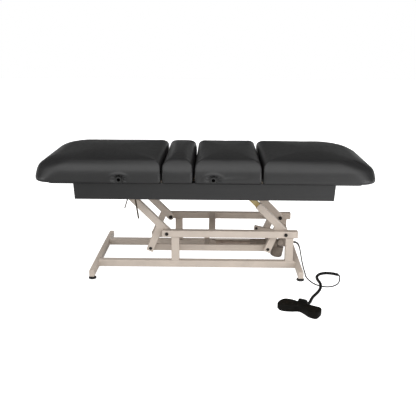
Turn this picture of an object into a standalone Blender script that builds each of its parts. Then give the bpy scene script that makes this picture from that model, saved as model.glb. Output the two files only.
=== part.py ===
"""Height-adjustable treatment table: a welded base, a parallelogram lift driven by an electric
actuator, a padded top in four sections, two of which tilt on gas springs, and a rocker foot
switch on a cord. Metres, +Z up, +X along the table, front at -Y."""

import math

import bmesh
import bpy
from mathutils import Matrix, Vector

FRONT = -1
REAR = 1
SIDE_NAMES = {FRONT: "front", REAR: "rear"}

# Running and seating gaps
SEAT_GAP = 0.0003
PIN_CLEARANCE = 0.0003
OVERRUN = 0.004

# Padded top
TOP_LENGTH = 1.860
TOP_WIDTH = 0.760
BACK_GAP_X = -0.2350
NARROW_GAP_X = -0.0605
LEG_GAP_X = 0.3100
SECTION_GAP = 0.0050
CUSHION_HEIGHT = 0.1108
CUSHION_CROWN = 0.0090
CUSHION_TOP_ROUND = 0.0550
CUSHION_END_ROUND_SHARE = 1.5
CUSHION_BOTTOM_ROUND = 0.0120
CUSHION_SIDE_DRAW = 0.0025
CUSHION_END_CORNER = 0.0950
CUSHION_INNER_CORNER = 0.0220
TOP_ROUND_STEPS = 4
CORNER_STEPS = 5
EVEN_BEVEL_SHARE = 0.5

# Base frame of square tube
TUBE = 0.0400
TUBE_WALL = 0.0025
TUBE_ROUND = 0.0035
RAIL_SPACING = 0.3900
BOTTOM_RAIL_Z = 0.0400
UPPER_RAIL_Z = 0.2200
UPPER_RAIL_LEFT_X = -0.2460
UPPER_RAIL_RIGHT_X = 0.5320
UPRIGHT_WIDTH = 0.0450
UPRIGHT_LEFT_X = -0.1705
UPRIGHT_RIGHT_X = 0.4845
MIDDLE_TUBE_X = 0.0400
END_TUBE_WIDTH = 0.0300
END_TUBE_HEIGHT = 0.0380
END_TUBE_LENGTH = 0.7500
END_TUBE_Z = 0.0350
END_TUBE_ROUND = 0.0040
END_TUBE_LEFT_X = -0.6270
END_TUBE_RIGHT_X = 0.5360
VENT_RADIUS = 0.0030

# Glides under the end tubes
FOOT_RADIUS = 0.0215
FOOT_HEIGHT = 0.0100
FOOT_ROUND = 0.0025
FOOT_STEM_RADIUS = 0.0070
FOOT_NUT_RADIUS = 0.0120
FOOT_INSET = 0.0230

# Bell cranks
LIFT_PIVOT_LEFT_X = -0.2190
LIFT_PIVOT_RIGHT_X = 0.4620
ARM_ANGLE = math.radians(45.0)
ARM_LENGTH = 0.3900
ARM_START = 0.0011
ARM_END = 0.0220
ELBOW_REACH = 0.0540
LEVER_ANGLE = math.radians(67.0)
LEVER_LENGTH = 0.1514
LEVER_END = 0.0170
ARM_WALL = 0.0030
RIGHT_ARM_TUBE_LENGTH = 0.2250
PIVOT_BOLT_RADIUS = 0.0080
PIVOT_CAP_RADIUS = 0.0100
PIVOT_CAP_HEIGHT = 0.0050
PIVOT_NUT_RADIUS = 0.0120
PIVOT_NUT_HEIGHT = 0.0080
LINK_PIN_RADIUS = 0.0075
LINK_CAP_RADIUS = 0.0085
LINK_CAP_HEIGHT = 0.0030
SHAFT_RADIUS = 0.0120

# Zinc-plated channels that carry the right crank's upper pivot
CHANNEL_WALL = 0.0035
CHANNEL_HEIGHT = 0.0300
CHANNEL_OVERLAP = 0.1000

# Link bars and their cross tube
LINK_DEPTH = 0.0200
LINK_HEIGHT = 0.0380
LINK_DROP = 0.0065
LINK_END = 0.0200
LINK_TUBE = 0.0300
LINK_TUBE_X = 0.0080
ROD_CHEEK_RADIUS = 0.0140

# Actuator
ROD_PIN_X = 0.0500
ROD_PIN_Z = 0.1043
ACTUATOR_PIN_X = 0.4520
ACTUATOR_PIN_Z = 0.1050
ACTUATOR_PIN_RADIUS = 0.0060
GUIDE_RADIUS = 0.0225
GUIDE_BORE = 0.0190
GUIDE_START = 0.0300
GUIDE_MOUTH = 0.1820
GUIDE_BORE_END = 0.0260
ROD_RADIUS = 0.0100
ROD_LENGTH = 0.3020
EYE_RADIUS = 0.0160
EYE_WIDTH = 0.0160
GEARCASE_X = 0.3970
GEARCASE_LENGTH = 0.0700
GEARCASE_WIDTH = 0.0700
GEARCASE_HEIGHT = 0.0600
MOTOR_RADIUS = 0.0360
MOTOR_BOTTOM_Z = 0.0230
MOTOR_DROP = 0.0190
MOTOR_X = 0.4380
MOTOR_Y = -0.0100
MOTOR_LEAN = math.radians(10.0)
MOTOR_ROUND = 0.0120

# Mount of the actuator between the right uprights
MOUNT_TUBE_Z = 0.1450
MOUNT_PLATE = 0.0050
MOUNT_PLATE_RADIUS = 0.0160
HANGER_PIN_X = 0.3050
HANGER_PIN_Z = 0.1970
HANGER_HEIGHT = 0.0240
HANGER_WIDTH = 0.0300
HANGER_WALL = 0.0030
HANGER_PIN_RADIUS = 0.0060
GLAND_RADIUS = 0.0080
GLAND_LENGTH = 0.0120
GLAND_Y = -0.1100

# Carried frame
SHAFT_RISE = 0.0198
TOP_RAIL_HEIGHT = 0.0600
TOP_CROSS_WIDTH = 0.0300
APRON_LEFT_X = -0.7130
APRON_RIGHT_X = 0.7070
APRON_FRONT_Y = 0.3520
APRON_THICKNESS = 0.0180
APRON_DROP = 0.0190
APRON_TAPER = 0.0060
APRON_ROUND = 0.0050

# Section plates and hinges
DECK_THICKNESS = 0.0152
DECK_SIDE_CLEARANCE = 0.0140
DECK_END_INSET = 0.0700
DECK_CORNER = 0.0300
HINGE_EAR_THICKNESS = 0.0060
HINGE_EAR_RADIUS = 0.0150
HINGE_PIN_RADIUS = 0.0060
PIN_PROUD = 0.0010
HINGE_RUNNING_GAP = 0.0006
EAR_SLOT_MARGIN = 0.0030
SWEEP_SLOT_ANGLE = math.radians(80.0)
SWEEP_SLOT_STEPS = 8

# Gas springs, set out from each hinge
SPRING_REACH = 0.0860
SPRING_DROP = 0.1490
SPRING_BODY_RADIUS = 0.0110
SPRING_BORE = 0.0080
SPRING_BODY_START = 0.0180
SPRING_BODY_LENGTH = 0.1420
SPRING_ROD_RADIUS = 0.0050
SPRING_ROD_START = 0.0240
SPRING_EYE_RADIUS = 0.0090
SPRING_EYE_WIDTH = 0.0120
SPRING_PIN_RADIUS = 0.0040
SPRING_LUG_THICKNESS = 0.0050

# Accessory sockets that run through the cushions
SOCKET_BACK_X = -0.4610
SOCKET_SEAT_X = 0.0460
SOCKET_RISE = 0.0214
SOCKET_RADIUS = 0.0120
SOCKET_BORE = 0.0095
SOCKET_FLANGE_RADIUS = 0.0165
SOCKET_FLANGE = 0.0020

# Release levers below the apron
LEVER_PIVOT_RISE = 0.0240
LEVER_Y = -0.3150
LEVER_PIN_RADIUS = 0.0030
LEVER_PIVOT_RADIUS = 0.0090
LEVER_PIVOT_WIDTH = 0.0160
LONG_LEVER_PIVOT_X = -0.3880
LONG_LEVER_TIP_X = -0.3655
LONG_LEVER_DROP = 0.1596
LONG_LEVER_RADIUS = 0.0046
SHORT_LEVER_PIVOT_X = -0.4080
SHORT_LEVER_TIP_X = -0.4410
SHORT_LEVER_DROP = 0.1014
SHORT_LEVER_RADIUS = 0.0032

# Rocker foot switch
PEDAL_X = 0.4815
PEDAL_Y = -0.7700
PEDAL_TURN = math.radians(-35.0)
PEDAL_LENGTH = 0.2360
PEDAL_WIDTH = 0.1150
PEDAL_WAIST = 0.0860
PEDAL_CORNER_SHARE = 0.40
PEDAL_BASE_INSET = 0.0060
PEDAL_BASE_HEIGHT = 0.0120
PEDAL_BASE_ROUND = 0.0030
PEDAL_AXIS_Z = 0.0230
PEDAL_HUB_RADIUS = 0.0120
PEDAL_TRAY_Z = 0.0085
PEDAL_TRAY_HEIGHT = 0.0285
PEDAL_TRAY_WALL = 0.0025
PEDAL_TRAY_TOP = 0.0060
PEDAL_TRAY_ROUND = 0.0040
PEDAL_CHEEK = 0.0050
PEDAL_PIN_RADIUS = 0.0030
PEDAL_BOSS_LENGTH = 0.0400
PEDAL_BOSS_WIDTH = 0.0240
PEDAL_BOSS_HEIGHT = 0.0460
PEDAL_BOSS_ROUND = 0.0060
PEDAL_BOSS_OFFSET = -0.0040
PEDAL_ENTRY_OFFSET = 0.0060
PEDAL_ENTRY_Z = 0.0135
PEDAL_GAP = 0.0012

# Cord and its thick end
CORD_DIAMETER = 0.0070
CORD_STEPS = 78
CORD_ROUTE = (
    (0.5172, -0.1100, 0.1450), (0.5222, -0.1100, 0.1450), (0.5313, -0.1100, 0.1436),
    (0.5395, -0.1103, 0.1397), (0.5463, -0.1108, 0.1335), (0.5509, -0.1115, 0.1256),
    (0.5548, -0.1125, 0.1150), (0.5592, -0.1142, 0.0990), (0.5632, -0.1168, 0.0800),
    (0.5668, -0.1210, 0.0600), (0.5702, -0.1285, 0.0400), (0.5735, -0.1412, 0.0226),
    (0.5757, -0.1620, 0.0104), (0.5765, -0.1920, 0.0046), (0.5764, -0.2350, 0.0036),
    (0.5757, -0.2552, 0.0036), (0.5743, -0.2753, 0.0036), (0.5740, -0.2995, 0.0036),
    (0.5762, -0.3196, 0.0036), (0.5802, -0.3393, 0.0036), (0.5852, -0.3589, 0.0036),
    (0.5909, -0.3783, 0.0036), (0.5980, -0.3971, 0.0036), (0.6099, -0.4182, 0.0036),
    (0.6229, -0.4335, 0.0036), (0.6390, -0.4457, 0.0036), (0.6578, -0.4528, 0.0036),
    (0.6779, -0.4534, 0.0036), (0.6969, -0.4472, 0.0036), (0.7163, -0.4327, 0.0036),
    (0.7291, -0.4172, 0.0036), (0.7394, -0.3999, 0.0036), (0.7474, -0.3813, 0.0036),
    (0.7527, -0.3619, 0.0036), (0.7571, -0.3422, 0.0036), (0.7628, -0.3186, 0.0046),
    (0.7640, -0.2986, 0.0068), (0.7603, -0.2871, 0.0079), (0.7568, -0.2815, 0.0083),
)
SLEEVE_DIAMETER = 0.0160
SLEEVE_STEPS = 48
SLEEVE_ROUTE = (
    (0.7557, -0.2805, 0.0083), (0.7442, -0.2716, 0.0083), (0.7225, -0.2611, 0.0083),
    (0.6889, -0.2585, 0.0083), (0.6552, -0.2763, 0.0083), (0.6360, -0.3095, 0.0085),
    (0.6304, -0.3478, 0.0095), (0.6316, -0.3866, 0.0123), (0.6341, -0.4253, 0.0158),
    (0.6326, -0.4640, 0.0154), (0.6242, -0.5018, 0.0120), (0.6092, -0.5375, 0.0095),
    (0.5904, -0.5715, 0.0087), (0.5721, -0.6056, 0.0088), (0.5576, -0.6416, 0.0088),
    (0.5457, -0.6785, 0.0101),
)


# Tools
class Table:
    """The collections, the materials and the empties that carry the bodies."""

    def __init__(self):
        for old in list(bpy.data.objects):
            bpy.data.objects.remove(old, do_unlink=True)
        self.parts = self.collection("treatment_table")
        self.cutters = self.collection("cutters")
        self.materials = {}
        self.root = self.empty("table_origin", None, Vector())

    def collection(self, name):
        made = bpy.data.collections.new(name)
        bpy.context.scene.collection.children.link(made)
        return made

    def empty(self, name, parent, at):
        made = bpy.data.objects.new(name, None)
        self.parts.objects.link(made)
        made["at"] = list(at)
        made.parent = parent
        made.location = Vector(at) - (Vector(parent["at"]) if parent else Vector())
        return made

    def material(self, name, colour, roughness, metallic=0.0):
        made = bpy.data.materials.new(name)
        made.use_nodes = True
        shader = made.node_tree.nodes["Principled BSDF"]
        shader.inputs["Base Color"].default_value = (*colour, 1.0)
        shader.inputs["Roughness"].default_value = roughness
        shader.inputs["Metallic"].default_value = metallic
        self.materials[name] = made

    def place(self, made, parent, at, turn, collection):
        collection.objects.link(made)
        made.parent = parent
        made.location = Vector(at) - Vector(parent["at"])
        made.rotation_euler = turn
        return made

    def solid(self, name, mesh, material, parent, at, turn=(0, 0, 0)):
        made = bpy.data.objects.new(name, mesh)
        mesh.materials.append(self.materials[material])
        mesh.shade_smooth()
        mesh.set_sharp_from_angle(angle=math.radians(35))
        return self.place(made, parent, at, turn, self.parts)

    def guide(self, name, mesh, parent, at, turn=(0, 0, 0)):
        made = bpy.data.objects.new(name, mesh)
        made.hide_render = True
        made.display_type = "WIRE"
        return self.place(made, parent, at, turn, self.cutters)


def mesh_from(name, build):
    bm = bmesh.new()
    build(bm)
    mesh = bpy.data.meshes.new(name)
    bm.to_mesh(mesh)
    bm.free()
    return mesh


def box_mesh(size, middle=(0, 0, 0), round_edges=0.0, steps=2, along=None):
    """A box; with a rounding, its edges are rounded, or only those that lie along one axis."""

    def build(bm):
        bmesh.ops.create_cube(bm, size=1.0, matrix=Matrix.Translation(middle) @ Matrix.Diagonal((*size, 1)))
        if round_edges:
            edges = [e for e in bm.edges if along is None or runs_along(e, along)]
            bmesh.ops.bevel(
                bm, geom=edges, offset=round_edges, segments=steps, profile=EVEN_BEVEL_SHARE, affect="EDGES",
            )

    return mesh_from("box", build)


def runs_along(edge, axis):
    way = edge.verts[1].co - edge.verts[0].co
    return abs(way[axis]) > way.length / 2


def cylinder_mesh(radius, length, axis, sides=16, middle=(0, 0, 0)):
    turn = {
        "x": Matrix.Rotation(math.pi / 2, 4, "Y"), "y": Matrix.Rotation(math.pi / 2, 4, "X"), "z": Matrix(),
    }

    def build(bm):
        bmesh.ops.create_cone(
            bm, cap_ends=True, segments=sides, radius1=radius, radius2=radius, depth=length,
            matrix=Matrix.Translation(middle) @ turn[axis],
        )

    return mesh_from("cylinder", build)


def turned_mesh(profile, sides=20):
    """A solid turned about Z from (radius, height) points that run from top to bottom."""

    def build(bm):
        edges = []
        verts = [bm.verts.new((r, 0, z)) for r, z in profile]
        for a, b in zip(verts, verts[1:]):
            edges.append(bm.edges.new((a, b)))
        bmesh.ops.spin(
            bm, geom=verts + edges, cent=(0, 0, 0), axis=(0, 0, 1), angle=math.tau, steps=sides,
            use_merge=True,
        )
        bmesh.ops.remove_doubles(bm, verts=bm.verts, dist=0.00001)
        bmesh.ops.recalc_face_normals(bm, faces=bm.faces)

    return mesh_from("turned", build)


def outline_mesh(points, height, round_edges=0.0, steps=2):
    """A flat outline, given as (x, y) points, as a plate whose underside is at zero height."""

    def build(bm):
        face = bm.faces.new([bm.verts.new((x, y, 0)) for x, y in points])
        bm.normal_update()
        if face.normal.z < 0:
            face.normal_flip()
        raised = bmesh.ops.extrude_face_region(bm, geom=[face])
        verts = [g for g in raised["geom"] if isinstance(g, bmesh.types.BMVert)]
        bmesh.ops.translate(bm, vec=(0, 0, height), verts=verts)
        bmesh.ops.recalc_face_normals(bm, faces=bm.faces)
        if round_edges:
            rims = [e for e in bm.edges if abs((e.verts[1].co - e.verts[0].co).z) < height / 2]
            bmesh.ops.bevel(
                bm, geom=rims, offset=round_edges, segments=steps, profile=EVEN_BEVEL_SHARE, affect="EDGES",
            )

    return mesh_from("outline", build)


def eye_plate_mesh(reach, radius, thickness):
    """A flat bar along +X that starts as a round eye about its Y axis."""
    points = arc((0, 0), radius, math.pi / 2, 1.5 * math.pi, 8) + [(reach, -radius), (reach, radius)]
    mesh = outline_mesh(points, thickness)
    mesh.transform(Matrix.Rotation(math.pi / 2, 4, "X") @ Matrix.Translation((0, 0, -thickness / 2)))
    return mesh


def combine(target, operation, guides):
    for guide in guides:
        cut = target.modifiers.new(guide.name, "BOOLEAN")
        cut.operation = operation
        cut.solver = "EXACT"
        cut.object = guide


def unite(target, *guides):
    combine(target, "UNION", guides)


def carve(target, *guides):
    combine(target, "DIFFERENCE", guides)


def arc(centre, radius, start, end, steps):
    """Points of an arc in a plane, both ends included."""
    angles = [start + (end - start) * i / steps for i in range(steps + 1)]
    return [(centre[0] + radius * math.cos(a), centre[1] + radius * math.sin(a)) for a in angles]


# Square tubes
def tube(table, name, parent, length, axis, middle, size=(TUBE, TUBE), capped=False, edge=TUBE_ROUND):
    """A square tube along X, Y or Z; a capped one is closed and vents through a hole below."""
    index = "xyz".index(axis)
    outer = list(size)
    outer.insert(index, length)
    made = table.solid(
        name, box_mesh(outer, round_edges=edge, along=None if capped else index), "frame_paint", parent,
        middle,
    )
    inner = [s - 2 * TUBE_WALL for s in size]
    inner.insert(index, length - 2 * TUBE_WALL if capped else length + 2 * OVERRUN)
    carve(made, table.guide(name + "_inside", box_mesh(inner), parent, middle))
    if capped:
        vent = table.guide(
            name + "_vent", cylinder_mesh(VENT_RADIUS, TUBE_WALL + 2 * OVERRUN, "z", 12), parent,
            Vector(middle) - Vector((0, 0, outer[2] / 2)),
        )
        carve(made, vent)
    return made


def rail_y(side):
    return side * RAIL_SPACING / 2


def arm_y(side):
    return side * (RAIL_SPACING / 2 - TUBE - SEAT_GAP)


def link_y(side):
    return side * (RAIL_SPACING / 2 - 1.5 * TUBE - 2 * SEAT_GAP - LINK_DEPTH / 2)


def between_rails():
    return RAIL_SPACING - TUBE - 2 * SEAT_GAP


# Base
def base_frame(table, base):
    left = END_TUBE_LEFT_X + END_TUBE_WIDTH / 2 + SEAT_GAP
    right = END_TUBE_RIGHT_X - END_TUBE_WIDTH / 2 - SEAT_GAP
    uprights_z = (BOTTOM_RAIL_Z + UPPER_RAIL_Z) / 2
    uprights_length = UPPER_RAIL_Z - BOTTOM_RAIL_Z - TUBE - 2 * SEAT_GAP
    for side, word in SIDE_NAMES.items():
        y = rail_y(side)
        tube(table, f"bottom_rail_{word}", base, right - left, "x", ((left + right) / 2, y, BOTTOM_RAIL_Z))
        upper = tube(
            table, f"upper_rail_{word}", base, UPPER_RAIL_RIGHT_X - UPPER_RAIL_LEFT_X, "x",
            ((UPPER_RAIL_LEFT_X + UPPER_RAIL_RIGHT_X) / 2, y, UPPER_RAIL_Z), capped=True,
        )
        for end, x in (("left", LIFT_PIVOT_LEFT_X), ("right", LIFT_PIVOT_RIGHT_X)):
            hole = cylinder_mesh(PIVOT_BOLT_RADIUS + PIN_CLEARANCE, TUBE + 2 * OVERRUN, "y")
            carve(upper, table.guide(f"pivot_hole_{word}_{end}", hole, base, (x, y, UPPER_RAIL_Z)))
        for end, x in (("left", UPRIGHT_LEFT_X), ("right", UPRIGHT_RIGHT_X)):
            tube(
                table, f"upright_{word}_{end}", base, uprights_length, "z", (x, y, uprights_z),
                size=(UPRIGHT_WIDTH, TUBE),
            )
    for end, x in (("left", END_TUBE_LEFT_X), ("right", END_TUBE_RIGHT_X)):
        made = tube(
            table, f"end_tube_{end}", base, END_TUBE_LENGTH, "y", (x, 0, END_TUBE_Z),
            size=(END_TUBE_WIDTH, END_TUBE_HEIGHT), capped=True, edge=END_TUBE_ROUND,
        )
        for side in SIDE_NAMES:
            hole = cylinder_mesh(FOOT_STEM_RADIUS + PIN_CLEARANCE, TUBE, "z", 20)
            at = (x, foot_y(side), END_TUBE_Z - END_TUBE_HEIGHT / 2)
            carve(made, table.guide(f"stem_hole_{end}_{SIDE_NAMES[side]}", hole, base, at))
    tube(table, "cross_tube_middle", base, between_rails(), "y", (MIDDLE_TUBE_X, 0, UPPER_RAIL_Z))


def foot_y(side):
    return side * (END_TUBE_LENGTH / 2 - FOOT_INSET)


def feet(table, base):
    """Round glides on threaded stems, each with a lock nut below the tube."""
    tube_bottom = END_TUBE_Z - END_TUBE_HEIGHT / 2
    stem_top = tube_bottom + END_TUBE_HEIGHT / 2
    profile = [
        (0, stem_top), (FOOT_STEM_RADIUS, stem_top), (FOOT_STEM_RADIUS, tube_bottom - SEAT_GAP),
        (FOOT_NUT_RADIUS, tube_bottom - SEAT_GAP), (FOOT_NUT_RADIUS, FOOT_HEIGHT),
        (FOOT_RADIUS - FOOT_ROUND, FOOT_HEIGHT), (FOOT_RADIUS, FOOT_HEIGHT - FOOT_ROUND),
        (FOOT_RADIUS, FOOT_ROUND / 2), (FOOT_RADIUS - FOOT_ROUND / 2, 0), (0, 0),
    ]
    for end, x in (("left", END_TUBE_LEFT_X), ("right", END_TUBE_RIGHT_X)):
        for side, word in SIDE_NAMES.items():
            at = (x, foot_y(side), 0)
            table.solid(f"foot_{word}_{end}", turned_mesh(profile), "black_rubber", base, at)


def pivot_bolts(table, base):
    """Bolts through the upper rails and the cranks, with a cap outside and a nut inside."""
    reach = TUBE * 2 + SEAT_GAP * 3 + PIVOT_NUT_HEIGHT
    shank = reach + PIVOT_CAP_HEIGHT / 2
    for end, x in (("left", LIFT_PIVOT_LEFT_X), ("right", LIFT_PIVOT_RIGHT_X)):
        for side, word in SIDE_NAMES.items():
            outside = side * (RAIL_SPACING / 2 + TUBE / 2 + SEAT_GAP)
            bolt = table.solid(
                f"pivot_bolt_{word}_{end}", cylinder_mesh(PIVOT_BOLT_RADIUS, shank, "y"), "bolt_black", base,
                (x, outside - side * (reach - PIVOT_CAP_HEIGHT / 2) / 2, UPPER_RAIL_Z),
            )
            cap = cylinder_mesh(PIVOT_CAP_RADIUS, PIVOT_CAP_HEIGHT, "y")
            nut = cylinder_mesh(PIVOT_NUT_RADIUS, PIVOT_NUT_HEIGHT, "y", 6)
            cap_y = outside + side * PIVOT_CAP_HEIGHT / 2
            nut_y = outside - side * (reach - PIVOT_NUT_HEIGHT / 2 - SEAT_GAP)
            unite(
                bolt,
                table.guide(f"cap_{word}_{end}", cap, base, (x, cap_y, UPPER_RAIL_Z)),
                table.guide(f"nut_{word}_{end}", nut, base, (x, nut_y, UPPER_RAIL_Z)),
            )


# Cranks
def arm_way():
    return Vector((-math.cos(ARM_ANGLE), 0, math.sin(ARM_ANGLE)))


def elbow():
    return arm_way() * ELBOW_REACH


def lever_way():
    return Vector((-math.cos(LEVER_ANGLE), 0, -math.sin(LEVER_ANGLE)))


def link_pin():
    """The lower pivot of a crank, seen from its upper pivot."""
    return elbow() + lever_way() * LEVER_LENGTH


def lever_tube(table, body, at, word, hollow):
    """The lever of square tube, open at its lower end."""
    turn = (0, -LEVER_ANGLE, 0)
    reach = LEVER_LENGTH + LEVER_END
    outer = box_mesh((reach, TUBE, TUBE), (-reach / 2, 0, 0), TUBE_ROUND, along=0)
    inner = box_mesh((reach, hollow, hollow), (-reach / 2 - OVERRUN, 0, 0))
    lever = table.guide(f"lever_{word}", outer, body, at, turn)
    carve(lever, table.guide(f"lever_inside_{word}", inner, body, at, turn))
    return lever


def crank(table, body, pivot, side, end, tube_length):
    """A bell crank: an upper arm of square tube with a lever welded below it."""
    word = f"{SIDE_NAMES[side]}_{end}"
    at = pivot + Vector((0, arm_y(side), 0))
    arm_turn = (0, ARM_ANGLE, 0)
    arm = box_mesh((tube_length, TUBE, TUBE), (-ARM_START - tube_length / 2, 0, 0), TUBE_ROUND, along=0)
    made = table.solid(f"crank_{word}", arm, "frame_paint", body, at, arm_turn)
    hollow = TUBE - 2 * ARM_WALL
    lever = lever_tube(table, body, at + elbow(), word, hollow)
    rounded_end = cylinder_mesh(TUBE / 2 - SEAT_GAP, TUBE - 2 * SEAT_GAP, "y", 20)
    pin_length = TUBE / 2 + SEAT_GAP + LINK_DEPTH + LINK_CAP_HEIGHT
    head_length = TUBE / 2 + LINK_CAP_HEIGHT + OVERRUN
    pin = cylinder_mesh(LINK_PIN_RADIUS, pin_length, "y", 16, (0, -side * pin_length / 2, 0))
    head_middle = (0, side * (head_length / 2 - OVERRUN), 0)
    head = cylinder_mesh(LINK_CAP_RADIUS, head_length, "y", 16, head_middle)
    unite(
        made,
        table.guide(f"crank_end_{word}", rounded_end, body, at),
        lever,
        table.guide(f"link_pin_{word}", pin, body, at + link_pin()),
        table.guide(f"link_pin_head_{word}", head, body, at + link_pin()),
    )
    hollow_start = PIVOT_BOLT_RADIUS + 2 * ARM_WALL
    hollow_length = tube_length + OVERRUN - hollow_start
    carve(
        made,
        table.guide(
            f"arm_inside_{word}",
            box_mesh((hollow_length, hollow, hollow), (-hollow_start - hollow_length / 2, 0, 0)),
            body, at, arm_turn,
        ),
        table.guide(
            f"pivot_bore_{word}", cylinder_mesh(PIVOT_BOLT_RADIUS + PIN_CLEARANCE, TUBE + 2 * OVERRUN, "y"),
            body, at
        ),
    )
    if tube_length > ARM_LENGTH:
        bore = cylinder_mesh(SHAFT_RADIUS, TUBE + 2 * OVERRUN, "y")
        carve(made, table.guide(f"shaft_bore_{word}", bore, body, at + arm_way() * ARM_LENGTH))
    return made


def channel(table, body, pivot, side):
    """The zinc-plated channel inside the end of a right arm, open along its upper side."""
    word = SIDE_NAMES[side]
    at = pivot + Vector((0, arm_y(side), 0))
    turn = (0, ARM_ANGLE, 0)
    start = RIGHT_ARM_TUBE_LENGTH - CHANNEL_OVERLAP
    length = ARM_LENGTH + ARM_END - start
    width = TUBE - 2 * ARM_WALL - 2 * SEAT_GAP
    made = table.solid(
        f"arm_channel_{word}", box_mesh((length, width, CHANNEL_HEIGHT), (-start - length / 2, 0, 0)),
        "zinc", body, at, turn,
    )
    inner = width - 2 * CHANNEL_WALL
    slot = box_mesh(
        (length + 2 * OVERRUN, inner, CHANNEL_HEIGHT), (-start - length / 2, 0, CHANNEL_WALL)
    )
    bore = cylinder_mesh(SHAFT_RADIUS, TUBE, "y")
    carve(
        made,
        table.guide(f"channel_slot_{word}", slot, body, at, turn),
        table.guide(f"channel_bore_{word}", bore, body, at + arm_way() * ARM_LENGTH),
    )


def crank_shaft(table, body, pivot, end):
    """The shaft across the tops of two arms, which turns in the rails of the carried frame."""
    length = RAIL_SPACING + TUBE - 4 * TUBE_WALL
    table.solid(
        f"crank_shaft_{end}", cylinder_mesh(SHAFT_RADIUS - SEAT_GAP, length, "y", 28), "steel", body,
        pivot + arm_way() * ARM_LENGTH,
    )


# Link
def link(table, body, pivots):
    left, right = (p + link_pin() for p in pivots)
    middle_x = (left.x + right.x) / 2
    length = right.x - left.x + 2 * LINK_END
    z = left.z - LINK_DROP
    for side, word in SIDE_NAMES.items():
        bar = tube(
            table, f"link_bar_{word}", body, length, "x", (middle_x, link_y(side), z),
            size=(LINK_DEPTH, LINK_HEIGHT),
        )
        for end, pin in (("left", left), ("right", right)):
            hole = cylinder_mesh(LINK_PIN_RADIUS + PIN_CLEARANCE, LINK_DEPTH + 2 * OVERRUN, "y")
            at = (pin.x, link_y(side), pin.z)
            carve(bar, table.guide(f"link_hole_{word}_{end}", hole, body, at))
    link_cross_tube(table, body)


def link_cross_tube(table, body):
    """The tube between the link bars, with two cheeks and a pin for the actuator's rod."""
    length = 2 * (abs(link_y(FRONT)) - LINK_DEPTH / 2 - SEAT_GAP)
    made = tube(
        table, "link_cross_tube", body, length, "y", (LINK_TUBE_X, 0, ROD_PIN_Z), size=(LINK_TUBE, LINK_TUBE)
    )
    reach = ROD_PIN_X - LINK_TUBE_X
    cheek_y = EYE_WIDTH / 2 + HINGE_RUNNING_GAP + MOUNT_PLATE / 2
    for side, word in SIDE_NAMES.items():
        y = side * cheek_y
        plate = eye_plate_mesh(reach - LINK_TUBE / 2 + TUBE_WALL / 2, ROD_CHEEK_RADIUS, MOUNT_PLATE)
        cheek = table.guide(f"rod_cheek_{word}", plate, body, (ROD_PIN_X, y, ROD_PIN_Z), (0, math.pi, 0))
        unite(made, cheek)
    pin = cylinder_mesh(ACTUATOR_PIN_RADIUS, 2 * (cheek_y + MOUNT_PLATE), "y")
    unite(made, table.guide("rod_pin", pin, body, (ROD_PIN_X, 0, ROD_PIN_Z)))


# Actuator
def actuator_line():
    """The length and lean of the line from the rear pin to the rod's pin."""
    way = Vector((ROD_PIN_X - ACTUATOR_PIN_X, 0, ROD_PIN_Z - ACTUATOR_PIN_Z))
    return way.length, math.atan2(way.z, -way.x)


def actuator_body(table, body, at):
    """A gear case on the guide tube, with the motor hanging below it and a lug at the rear."""
    _, lean = actuator_line()
    turn = (0, lean, 0)
    guide_length = GUIDE_MOUTH - GUIDE_START
    guide_tube = cylinder_mesh(GUIDE_RADIUS, guide_length, "x", 20, (-GUIDE_START - guide_length / 2, 0, 0))
    made = table.solid("actuator_body", guide_tube, "motor_grey", body, at, turn)
    case_x = GEARCASE_X - ACTUATOR_PIN_X
    case = box_mesh((GEARCASE_LENGTH, GEARCASE_WIDTH, GEARCASE_HEIGHT), (case_x, 0, 0), MOTOR_ROUND, 3)
    motor_at = Vector((MOTOR_X, MOTOR_Y, ACTUATOR_PIN_Z - MOTOR_DROP))
    motor_length = motor_at.z - MOTOR_BOTTOM_Z
    motor = turned_mesh(
        [(0, 0), (MOTOR_RADIUS, 0), (MOTOR_RADIUS, MOTOR_ROUND - motor_length)]
        + [
            (MOTOR_RADIUS - MOTOR_ROUND + r, z)
            for r, z in arc((0, MOTOR_ROUND - motor_length), MOTOR_ROUND, 0, -math.pi / 2, 4)[1:]
        ]
        + [(0, -motor_length)],
        24,
    )
    lug = eye_plate_mesh(abs(case_x), MOUNT_PLATE_RADIUS, EYE_WIDTH)
    unite(
        made,
        table.guide("gearcase", case, body, at, turn),
        table.guide("motor", motor, body, motor_at, (0, MOTOR_LEAN, 0)),
        table.guide("rear_lug", lug, body, at, (0, lean + math.pi, 0)),
    )
    bore_length = GUIDE_MOUTH - GUIDE_BORE_END + OVERRUN
    bore = cylinder_mesh(GUIDE_BORE, bore_length, "x", 20, (-GUIDE_BORE_END - bore_length / 2, 0, 0))
    pin_hole = cylinder_mesh(ACTUATOR_PIN_RADIUS + PIN_CLEARANCE, 2 * EYE_WIDTH, "y")
    carve(
        made,
        table.guide("guide_bore", bore, body, at, turn),
        table.guide("rear_pin_hole", pin_hole, body, at),
    )


def actuator_rod(table, body, at):
    _, lean = actuator_line()
    turn = (0, lean, 0)
    rod = table.solid(
        "actuator_rod", cylinder_mesh(ROD_RADIUS, ROD_LENGTH, "x", 24, (ROD_LENGTH / 2, 0, 0)), "chrome",
        body, at, turn,
    )
    unite(rod, table.guide("rod_eye", cylinder_mesh(EYE_RADIUS, EYE_WIDTH, "y", 20), body, at))
    flat = 2 * (EYE_RADIUS + OVERRUN)
    for side, word in SIDE_NAMES.items():
        relief = box_mesh((flat, ROD_RADIUS, flat), (0, side * (EYE_WIDTH + ROD_RADIUS) / 2, 0))
        carve(rod, table.guide(f"eye_flat_{word}", relief, body, at))
    hole = cylinder_mesh(ACTUATOR_PIN_RADIUS + PIN_CLEARANCE, 2 * EYE_WIDTH, "y")
    carve(rod, table.guide("rod_eye_hole", hole, body, at))


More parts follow.
